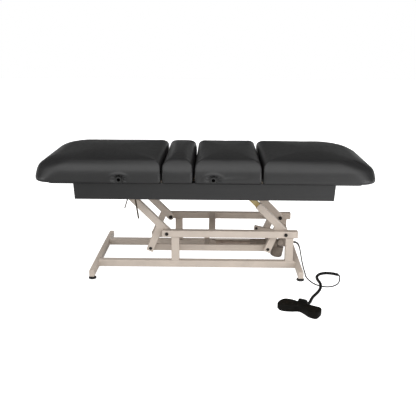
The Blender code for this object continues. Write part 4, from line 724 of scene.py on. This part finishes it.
def cut_away(made, cutters):
    for tool in cutters:
        cut = made.modifiers.new("cut", "BOOLEAN")
        cut.operation = "DIFFERENCE"
        cut.solver = "EXACT"
        cut.object = tool
    evaluated(made)
    for tool in cutters:
        bpy.data.objects.remove(tool)


def box_cutter(low, high):
    size = Vector(high) - Vector(low)
    middle = (Vector(high) + Vector(low)) / 2

    def build(bm):
        bmesh.ops.create_cube(bm, size=1.0, matrix=Matrix.Translation(middle) @ Matrix.Diagonal((*size, 1)))

    return cutter("cut_box", build)


def socket_cutter(x):
    def build(bm):
        matrix = Matrix.Translation((x, SHIFT.y, SOCKET_Z)) @ Matrix.Rotation(math.pi / 2, 4, "X")
        bmesh.ops.create_cone(
            bm, cap_ends=True, segments=32, radius1=SOCKET_HOLE, radius2=SOCKET_HOLE, depth=TOP_WIDTH + 0.1,
            matrix=matrix,
        )

    return cutter("cut_rod", build)


# The hollows below the inner edge of a tilting cushion, over the rails and the long panels, and the slots that
# its hinge ears stand in
SWEEP_RADIUS = 0.0531
SWEEP_ANGLE = math.radians(80)
SWEEP_REACH = 0.070
SWEEP_LANES = ((0.1720, 0.2180), (0.3310, 0.3550))
EAR_Y = 0.1917
EAR_HALF = 0.0093
EAR_SLOT_X = (0.060, 0.018)
EAR_SLOT_TOP = HINGE_Z + 0.018
EAR_SLOT_LOW = CUSHION_BOTTOM - 0.02


def sweep_cutter(hinge_x, way, ends):
    sweep = arc((0, 0), SWEEP_RADIUS, 0, SWEEP_ANGLE, 8)
    outer, low = way * SWEEP_REACH, -SWEEP_REACH
    outline = [(0, low)] + [(way * b, -a) for a, b in sweep] + [(outer, -sweep[-1][0]), (outer, low)]

    def build(bm):
        stack(bm, [[Vector((hinge_x + a, y, HINGE_Z + b)) for a, b in outline] for y in ends])
        turn_out(bm)

    return cutter("cut_sweep", build)


def hinge_cutters(hinge_x, way):
    """The slot for each hinge ear, and the hollows beside it."""
    tools = []
    slot_x = sorted((hinge_x + way * EAR_SLOT_X[0], hinge_x - way * EAR_SLOT_X[1]))
    for side in (-1, 1):
        ear = SHIFT.y + side * EAR_Y
        tools.append(box_cutter(
            (slot_x[0], ear - EAR_HALF, EAR_SLOT_LOW), (slot_x[1], ear + EAR_HALF, EAR_SLOT_TOP)
        ))
        for lane in SWEEP_LANES:
            tools.append(sweep_cutter(hinge_x, way, sorted(SHIFT.y + side * y for y in lane)))
    return tools


# The gathers round a socket: an eye shape, with folds along its rim and a lid that stands out above
RING_RADIUS = 0.0165
EYE_STRETCH = 1.7
EYE_REACH = 0.0290
EYE_INNER = RING_RADIUS * 0.72
EYE_WAIST = RING_RADIUS * 0.6
EYE_DEPTH = 0.0078
FOLD_COUNT = 11
FOLD_DEPTH = 0.0013
RIM_RISE = 0.0006
LID_RISE = 0.0030
REFINE_REACH = 0.045
SIDE_DEPTH = 0.03
MOST_OUT = TOP_WIDTH / 2 + 0.003


def refine_at_socket(made, x):
    """More points on the cover round a socket, for its short folds."""
    bm = bmesh.new()
    bm.from_mesh(made.data)
    near = [
        edge for edge in bm.edges
        if all(
            abs(v.co.x - x) < REFINE_REACH * EYE_STRETCH and abs(v.co.z - SOCKET_Z) < REFINE_REACH
            and abs(v.co.y - SHIFT.y) > TOP_WIDTH / 2 - SIDE_DEPTH
            for v in edge.verts
        )
    ]
    bmesh.ops.subdivide_edges(bm, edges=near, cuts=2, use_grid_fill=True)
    bmesh.ops.triangulate(bm, faces=[f for f in bm.faces if len(f.verts) > 4])
    bm.to_mesh(made.data)
    bm.free()


def gather_at_socket(made, x):
    """The cover is drawn in to the ring of a socket, in the shape of an eye with short folds round it."""
    for v in made.data.vertices:
        dy = v.co.y - SHIFT.y
        if abs(dy) < TOP_WIDTH / 2 - SIDE_DEPTH:
            continue
        dx, dz = v.co.x - x, v.co.z - SOCKET_Z
        angle = math.atan2(dz, dx)
        squeeze = 1 + (EYE_STRETCH - 1) * min(abs(dx) / EYE_WAIST, 1)
        t = (math.hypot(dx / squeeze, dz) - EYE_INNER) / (EYE_REACH - EYE_INNER)
        if t > 2.2:
            continue
        near = max(0.0, min(t, 1.0))
        pull = EYE_DEPTH * (1 - near) ** 2 * (1 + 2 * near)
        fold = FOLD_DEPTH * math.sin(angle * FOLD_COUNT + 0.8) * math.exp(-((t - 0.5) / 0.4) ** 2)
        lid = RIM_RISE + LID_RISE * max(0.0, math.sin(angle))
        rise = lid * math.exp(-((t - 1.15) / 0.40) ** 2)
        v.co.y = SHIFT.y + math.copysign(min(abs(dy) - pull + fold + rise, MOST_OUT), dy)


SEAM_RADIUS = 0.0011
SEAM_RISE = 0.0002
# Its run up the side, from a height over the deck, and its steps inwards over the shoulder
SEAM_FOOT = 0.004
SEAM_RUN = 0.080
SEAM_STEPS = (0.007, 0.008)


def seam_line(name, made, sx, sy, body, looks):
    """The sewn corner of an end cushion: a fine raised line laid on its surface."""
    out = Vector((sx, sy, 0)).normalized()
    spans = [v.co.x for v in made.data.vertices]
    edge = max(spans) if sx > 0 else min(spans)
    centre = Vector((edge - sx * END_CORNER * 1.1, SHIFT.y + sy * (TOP_WIDTH / 2 - END_CORNER * 1.1), 0))
    points = []
    for i in range(16):
        z = CUSHION_BOTTOM + SEAM_FOOT + SEAM_RUN * i / 15
        hit, place, normal, _ = made.ray_cast(centre + out * 0.4 + Vector((0, 0, z)), -out)
        if hit:
            points.append(place + normal * SEAM_RISE)
    for i in range(10):
        spot = points[15] - out * (SEAM_STEPS[0] + SEAM_STEPS[1] * i)
        hit, place, normal, _ = made.ray_cast(Vector((spot.x, spot.y, CUSHION_BOTTOM + 0.3)), Vector((0, 0, -1)))
        if hit and place.z > points[-1].z:
            points.append(place + normal * SEAM_RISE)
    line, _ = smooth_route(points, 48)
    radii = [SEAM_RADIUS * min(1.0, 0.3 + (len(line) - 1 - i) / 8) for i in range(len(line))]
    put(swept_mesh(name, line, radii, looks["seam"], 8), body)


def make_cushion(name, spans, corners, outer, body, looks):
    made = cushion_form(name, spans, corners, outer, looks["vinyl"])
    inflate(made)
    modified(made, "SMOOTH", iterations=2, factor=0.5)
    modified(made, "SUBSURF", levels=1, render_levels=1)
    low = (spans[0], SHIFT.y - TOP_WIDTH / 2, CUSHION_BOTTOM)
    high = (spans[1], SHIFT.y + TOP_WIDTH / 2, CUSHION_BOTTOM + CUSHION_HEIGHT + CROWN)
    fit_box(made, low, high)
    tools = []
    if name in SOCKET_X:
        refine_at_socket(made, SOCKET_X[name])
        gather_at_socket(made, SOCKET_X[name])
        tools.append(socket_cutter(SOCKET_X[name]))
    if outer:
        for word, sy in (("front", -1), ("rear", 1)):
            seam_line(f"seam_{name}_{word}", made, outer, sy, body, looks)
        tools += hinge_cutters(HINGE_X[name], -outer)
    if tools:
        cut_away(made, tools)
    made.data.shade_smooth()
    made.data.set_sharp_from_angle(angle=math.radians(60))
    put(made, body)
    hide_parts(f"cushion_{name}")
    if name in SQUEEZED:
        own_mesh(made)


def make_cushions(looks):
    edges = (-TOP_LENGTH / 2, *GAPS_X, TOP_LENGTH / 2)
    half = SECTION_GAP / 2 - GAP_SHUT
    for (name, body, outer), a, b in zip(CUSHIONS, edges, edges[1:]):
        corners = (END_CORNER if outer > 0 else INNER_CORNER, END_CORNER if outer < 0 else INNER_CORNER)
        spans = (a + (0 if outer < 0 else half), b - (0 if outer > 0 else half))
        make_cushion(name, spans, corners, outer, body, looks)


# Foot switch
PEDAL_OUTLINE = (
    (-0.098, 0.022), (-0.084, 0.032), (-0.058, 0.037), (-0.032, 0.035), (-0.003, 0.031), (0.022, 0.0315),
    (0.045, 0.030), (0.085, 0.032), (0.102, 0.028), (0.112, 0.012), (0.117, -0.014), (0.114, -0.034),
    (0.100, -0.042), (0.069, -0.041), (0.035, -0.025), (0.003, -0.015), (-0.025, -0.034), (-0.064, -0.050),
    (-0.092, -0.046), (-0.102, -0.036), (-0.106, -0.012), (-0.104, 0.008),
)
PEDAL_SKIRT_Z = 0.0085
PEDAL_TOP_Z = 0.0370
# The outline's scale along the switch, and across its front half
PEDAL_SCALE = (1.02, 1.12)
PEDAL_WALL = 0.0026
TREAD_HEIGHT = 0.0022
TREAD_PITCH = 0.0062
HUMP_RINGS = ((0.0000, 0.000), (0.0000, 0.034), (0.0016, 0.041), (0.0052, 0.0468), (0.0100, 0.0492))


def drawn_in(loop, inset):
    """The loop moved in along its own normals."""
    area = sum(a.x * b.y - b.x * a.y for a, b in zip(loop, loop[1:] + loop[:1]))
    turn = 1 if area > 0 else -1
    moved = []
    for i, point in enumerate(loop):
        way = (loop[(i + 1) % len(loop)] - loop[i - 1]).normalized()
        moved.append(point + Vector((-way.y, way.x, 0)) * turn * inset)
    return moved


def level(loop, z):
    return [Vector((p.x, p.y, z)) for p in loop]


def pedal_outline(count):
    """The outline at its final size; the rear edge keeps clear of the hump."""
    return smooth_loop([(x * PEDAL_SCALE[0], y * (PEDAL_SCALE[1] if y < 0 else 1)) for x, y in PEDAL_OUTLINE], count)


def pedal_place(bm):
    turn = Matrix.Translation(PEDAL_AT + SHIFT) @ Matrix.Rotation(PEDAL_TURN, 4, "Z")
    bmesh.ops.transform(bm, matrix=turn, verts=bm.verts)
    turn_out(bm)


def pedal_cover(bm):
    """The rocking cover: a hollow, waisted shell with a rounded rim and a sunk field on top."""
    outline = pedal_outline(132)
    steps = ((0.0004, PEDAL_SKIRT_Z), (0, PEDAL_SKIRT_Z + 0.001), (0, 0.0315), (0.0009, 0.0347), (0.0028, PEDAL_TOP_Z),
             (0.0046, PEDAL_TOP_Z), (0.0054, PEDAL_TOP_Z - 0.0012))
    outer = [level(drawn_in(outline, inset), z) for inset, z in steps]
    inner = [level(drawn_in(outline, PEDAL_WALL + inset), z) for inset, z in (
        (0, PEDAL_SKIRT_Z), (0, 0.0310), (0.0015, 0.0325))]
    stack(bm, list(reversed(inner)) + outer)
    pedal_place(bm)


def pedal_treads(bm):
    """Fine ribs across both ends of the cover."""
    outline = drawn_in(pedal_outline(132), 0.0078)
    for side in (-1, 1):
        for k in range(11):
            x = side * (0.034 + TREAD_PITCH * k)
            crossings = []
            for a, b in zip(outline, outline[1:] + outline[:1]):
                if (a.x - x) * (b.x - x) <= 0 and a.x != b.x:
                    crossings.append(a.y + (b.y - a.y) * (x - a.x) / (b.x - a.x))
            if len(crossings) < 2 or max(crossings) - min(crossings) < 0.012:
                continue
            low, high = min(crossings), max(crossings)
            base = PEDAL_TOP_Z - 0.0014
            profile = ((-0.0017, 0), (-0.0011, TREAD_HEIGHT), (0.0011, TREAD_HEIGHT), (0.0017, 0))
            rings = []
            for y in (low, low + 0.0012, high - 0.0012, high):
                share = 0.35 if y in (low, high) else 1.0
                rings.append([Vector((x + a, y, base + b * share)) for a, b in profile])
            stack(bm, rings)
    pedal_place(bm)


def pedal_base_form(bm):
    """The plate on the floor, and the ridged hump that takes the cord."""
    outline = pedal_outline(110)
    rings = [level(drawn_in(outline, inset), z) for inset, z in (
        (0.0080, 0), (0.0062, 0.0008), (0.0060, 0.0015), (0.0060, 0.0095), (0.0075, 0.0118))]
    stack(bm, rings)
    hump = smooth_loop(((-0.030, 0.034), (-0.029, 0.047), (-0.020, 0.054), (-0.004, 0.0555), (0.012, 0.0555),
                        (0.019, 0.050), (0.021, 0.040), (0.019, 0.0335), (0.004, 0.0325), (-0.018, 0.0325)), 56)
    stack(bm, [level(drawn_in(hump, inset), z) for inset, z in HUMP_RINGS])
    for k in range(6):
        x = -0.019 + 0.0058 * k
        profile = ((-0.0009, -0.0004), (0, 0.0009), (0.0009, -0.0004))
        ridge = []
        for y, z in ((0.0392, 0.0486), (0.0425, 0.0492), (0.0472, 0.0484), (0.0505, 0.0462)):
            ridge.append([Vector((x + a, y, z + b)) for a, b in profile])
        stack(bm, ridge)
    pedal_place(bm)


def make_pedal(looks):
    cover = mesh_object("switch_cover", pedal_cover, looks["pedal"], 35)
    treads = mesh_object("switch_treads", pedal_treads, looks["tread"], 35)
    base = mesh_object("switch_base", pedal_base_form, looks["pedal"], 35)
    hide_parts("pedal_rocker")
    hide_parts("pedal_base")
    for piece, body in ((cover, "pedal_rocker"), (treads, "pedal_rocker"), (base, "base")):
        put(piece, body)


# Small fittings
BEAD_RADIUS = 0.0022
# The middle number is the distance of each head from the middle plane
HANGER_BOLT = (0.3050, 0.0151, 0.1970)
# From the pivot of a crank to the pin of its link bar
LINK_PIN_OFFSET = (-0.0973, -0.1012)
PIVOTS = {"left_crank": (-0.2190, 0.2200), "right_crank": (0.4620, 0.2200)}
CAP_FACE = 0.1748


def revolve(bm, profile, matrix, sides=28):
    """A turned form: (radius, height) pairs, closed at both ends."""
    side, up = Vector((1, 0, 0)), Vector((0, 1, 0))
    stack(bm, [
        [matrix @ point for point in circle(Vector((0, 0, height)), side, up, radius, sides)]
        for radius, height in profile
    ])


def outward(side):
    """Turns a form that stands on the floor so that it points out of the front (-1) or the rear (1)."""
    return Matrix.Rotation(-side * math.pi / 2, 4, "X")


CAP_PROFILE = ((0.0090, 0.0001), (0.0090, 0.0024), (0.0083, 0.0034), (0.0062, 0.0042), (0.0040, 0.0044),
               (0.0036, 0.0034), (0.0010, 0.0034))


def make_pin_caps(looks):
    """Black domed caps over the heads of the link pins, with a round recess."""
    for body, (x, z) in PIVOTS.items():
        for side, word in ((-1, "front"), (1, "rear")):
            at = SHIFT + Vector((x + LINK_PIN_OFFSET[0], side * CAP_FACE, z + LINK_PIN_OFFSET[1]))
            turn = Matrix.Translation(at) @ outward(side)

            def build(bm, turn=turn):
                revolve(bm, CAP_PROFILE, turn)
                turn_out(bm)

            cap = mesh_object(f"pin_cap_{word}_{body[:-6]}", build, looks["bolt"], 30)
            put(cap, body)


def bead(bm, a, b):
    """A run of weld: a rippled bead from point to point."""
    way = b - a
    count = max(6, int(way.length / 0.0013))
    along = way.normalized()
    side = along.cross(Vector((0.37, 0.61, 0.70))).normalized()
    up = side.cross(along)
    rings = []
    for i in range(count + 1):
        share = i / count
        taper = min(1.0, 0.35 + 4 * min(share, 1 - share) * way.length / 0.02)
        size = BEAD_RADIUS * taper * (1 + 0.16 * math.sin(i * 2.1))
        rings.append(circle(a + way * share, side, up, size, 8))
    stack(bm, rings)


def make_welds(looks):
    """Beads at the foot and head of each upright and where the rails meet the end tubes."""

    def build(bm):
        for name in NODES:
            if name.startswith("upright"):
                low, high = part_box(name)
                for z in (low.z, high.z):
                    for x in (low.x, high.x):
                        bead(bm, Vector((x, low.y + 0.001, z)), Vector((x, high.y - 0.001, z)))
            if name.startswith("bottom_rail"):
                low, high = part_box(name)
                for x in (low.x, high.x):
                    for y in (low.y, high.y):
                        bead(bm, Vector((x, y, low.z + 0.001)), Vector((x, y, high.z - 0.001)))
                    bead(bm, Vector((x, low.y + 0.001, high.z)), Vector((x, high.y - 0.001, high.z)))
        turn_out(bm)

    put(mesh_object("weld_beads_base", build, looks["paint"], 60), "base")


def make_hanger_bolt(looks):
    """The black bolt through the front end of the hanger over the actuator."""
    profile = ((0.0088, 0.0), (0.0088, 0.0042), (0.0080, 0.0052), (0.0030, 0.0055), (0.0010, 0.0055))
    x, y, z = HANGER_BOLT

    def build(bm):
        for side in (-1, 1):
            revolve(bm, profile, Matrix.Translation(SHIFT + Vector((x, side * y, z))) @ outward(side), 6)
        turn_out(bm)

    put(mesh_object("hanger_bolt", build, looks["bolt"], 30), "base")


# The solids keep their shape and get their material
FINISHES = {
    "paint": (
        "bottom_rail", "end_tube", "upright", "upper_rail", "cross_tube", "actuator_mount", "crank_front",
        "crank_rear", "link_", "top_rail", "top_cross",
    ),
    "rubber": ("foot_",),
    "bolt": ("pivot_bolt",),
    "steel": ("crank_shaft",),
    "zinc": ("arm_channel",),
    "motor": ("actuator_body",),
    "rod": ("actuator_rod",),
    "chrome": ("gas_rod",),
    "apron": ("apron",),
    "socket": ("socket_tube",),
    "spring": ("gas_spring",),
    "lever": ("release_lever",),
    "pedal": ("pedal_base", "pedal_rocker"),
    "cord": ("pedal_cord",),
}


def dress(node, finish):
    node.data.materials.clear()
    node.data.materials.append(finish)


def dress_nodes(looks):
    for name, node in NODES.items():
        if name.startswith("deck"):
            dress(node, deck_look(name))
        for look, prefixes in FINISHES.items():
            if name.startswith(prefixes):
                dress(node, looks[look])


# Stage
# What gloss mirrors: a wide soft screen in front, from low to high, and a darker room elsewhere
SCREEN = 1.72
ROOM = 0.06
SCREEN_RISE = (0.12, 0.42)
SCREEN_SIDE = (-0.68, 0.28)
AMBIENT_SOFT = 1.25
# The white backdrop that gloss mirrors ends a little above the horizon (height of the ray)
BACKDROP_EDGE = (0.10, 0.02)
FLOOR_GLOW = (0.99, 1.00)
FLOOR_GLOW_REACH = (1.5, 6.0)
# The room is darker on the left, as painted shade in the floor: the share of the glow that gloss mirrors, and the tone
# of the floor, from left to right; the darker tone on the left is painted shade that the table mirrors and takes up
FLOOR_ACROSS = (-1.35, 0.65)
FLOOR_GLOSS_SHARES = (0.00, 0.30)
FLOOR_SHADED_TONES = (0.36, 0.64)
FLOOR_HALF = 14
# Name, place, target, width, height and power
LAMPS = (
    ("front_strip", (0.5, -3.3, 2.3), (0.1, 0.0, 0.50), 4.6, 0.6, 9),
    ("front_high", (0.0, -2.2, 3.2), (0.0, 0.0, 0.50), 4.2, 1.2, 6),
    ("top_softbox", (0.2, 0.2, 3.4), (0.0, 0.1, 0.5), 3.0, 2.0, 16),
    ("low_fill", (2.6, -2.5, 0.45), (-0.4, 0.3, 0.25), 1.8, 0.6, 12),
    ("left_fill", (-3.4, -1.4, 0.8), (-0.2, 0.1, 0.2), 1.6, 1.0, 14),
    ("right_fill", (3.3, -1.9, 0.8), (-0.3, 0.1, 0.2), 1.6, 1.0, 16),
)


def floor_look():
    """Pale, with the glow that makes it white where it is seen or mirrored, and painted shade: its tone is darker
    towards the left.
    """
    floor = Look("floor_pale", (FLOOR_SHADED_TONES[1],) * 3, 0.9)
    across = floor.spread(floor.split(floor.place)["X"], 0, 1, *FLOOR_ACROSS)
    # Painted shade: the floor's colour gets darker towards the left, and less of its glow is mirrored there
    floor.tint(across, (FLOOR_SHADED_TONES[0],) * 3, (FLOOR_SHADED_TONES[1],) * 3)
    path = floor.node("ShaderNodeLightPath").outputs
    mirrored = floor.calc("MULTIPLY", path["Is Glossy Ray"], floor.spread(across, *FLOOR_GLOSS_SHARES, 0, 1))
    seen = floor.calc("MAXIMUM", path["Is Camera Ray"], mirrored)
    far = floor.node("ShaderNodeVectorMath", operation="LENGTH")
    floor.link(floor.place, far.inputs[0])
    level = floor.spread(far.outputs["Value"], *FLOOR_GLOW, *FLOOR_GLOW_REACH)
    glow = floor.node("ShaderNodeEmission")
    glow.inputs["Color"].default_value = (1, 1, 1, 1)
    floor.link(floor.calc("MULTIPLY", seen, level), glow.inputs["Strength"])
    add = floor.node("ShaderNodeAddShader")
    floor.link(floor.shader.outputs["BSDF"], add.inputs[0])
    floor.link(glow.outputs["Emission"], add.inputs[1])
    floor.link(add.outputs["Shader"], floor.tree.nodes["Material Output"].inputs["Surface"])
    return floor.material


def make_world():
    """White where it is seen, even soft light on everything, and a soft screen for gloss to mirror."""
    world = bpy.data.worlds.new("studio")
    scene.world = world
    world.use_nodes = True
    sky = Nodes(world.node_tree)
    sky.tree.nodes.remove(sky.tree.nodes["Background"])

    def light(strength):
        made = sky.node("ShaderNodeBackground")
        made.inputs["Color"].default_value = (1, 1, 1, 1)
        sky.feed(strength, made.inputs["Strength"])
        return made.outputs["Background"]

    def mixed(share, a, b):
        made = sky.node("ShaderNodeMixShader")
        for source, socket in zip((share, a, b), made.inputs):
            sky.link(source, socket)
        return made.outputs["Shader"]

    way = sky.split(sky.node("ShaderNodeTexCoord").outputs["Generated"])
    path = sky.node("ShaderNodeLightPath").outputs
    front = sky.spread(way["Y"], 1, 0, *SCREEN_SIDE, "SMOOTHSTEP")
    high = sky.spread(way["Z"], 0, 1, *SCREEN_RISE, "SMOOTHSTEP")
    screen = sky.spread(sky.calc("MULTIPLY", front, high), ROOM, SCREEN, 0, 1)
    unseen = mixed(path["Is Diffuse Ray"], light(screen), light(AMBIENT_SOFT))
    mirrored = sky.calc("MULTIPLY", path["Is Glossy Ray"], sky.spread(way["Z"], 0, 1, *BACKDROP_EDGE))
    seen = sky.calc("MAXIMUM", path["Is Camera Ray"], path["Is Transmission Ray"])
    white = mixed(sky.calc("MAXIMUM", seen, mirrored), unseen, light(1.0))
    sky.link(white, sky.tree.nodes["World Output"].inputs["Surface"])


def lamp(name, at, target, width, height, power):
    data = bpy.data.lights.new(name, "AREA")
    data.shape = "RECTANGLE"
    data.size = width
    data.size_y = height
    data.energy = power
    made = add_object(name, data)
    made.location = at
    made.rotation_euler = (Vector(target) - Vector(at)).to_track_quat("-Z", "Y").to_euler()


def make_stage():
    def build(bm):
        bmesh.ops.create_grid(bm, x_segments=8, y_segments=8, size=FLOOR_HALF)

    mesh_object("floor", build, floor_look(), 0)
    make_world()
    for row in LAMPS:
        lamp(*row)


make_camera()
LOOKS = make_looks()
make_cords(LOOKS)
dress_nodes(LOOKS)
make_cushions(LOOKS)
make_pedal(LOOKS)
make_pin_caps(LOOKS)
make_welds(LOOKS)
make_hanger_bolt(LOOKS)
make_stage()
scene.view_settings.view_transform = "Standard"
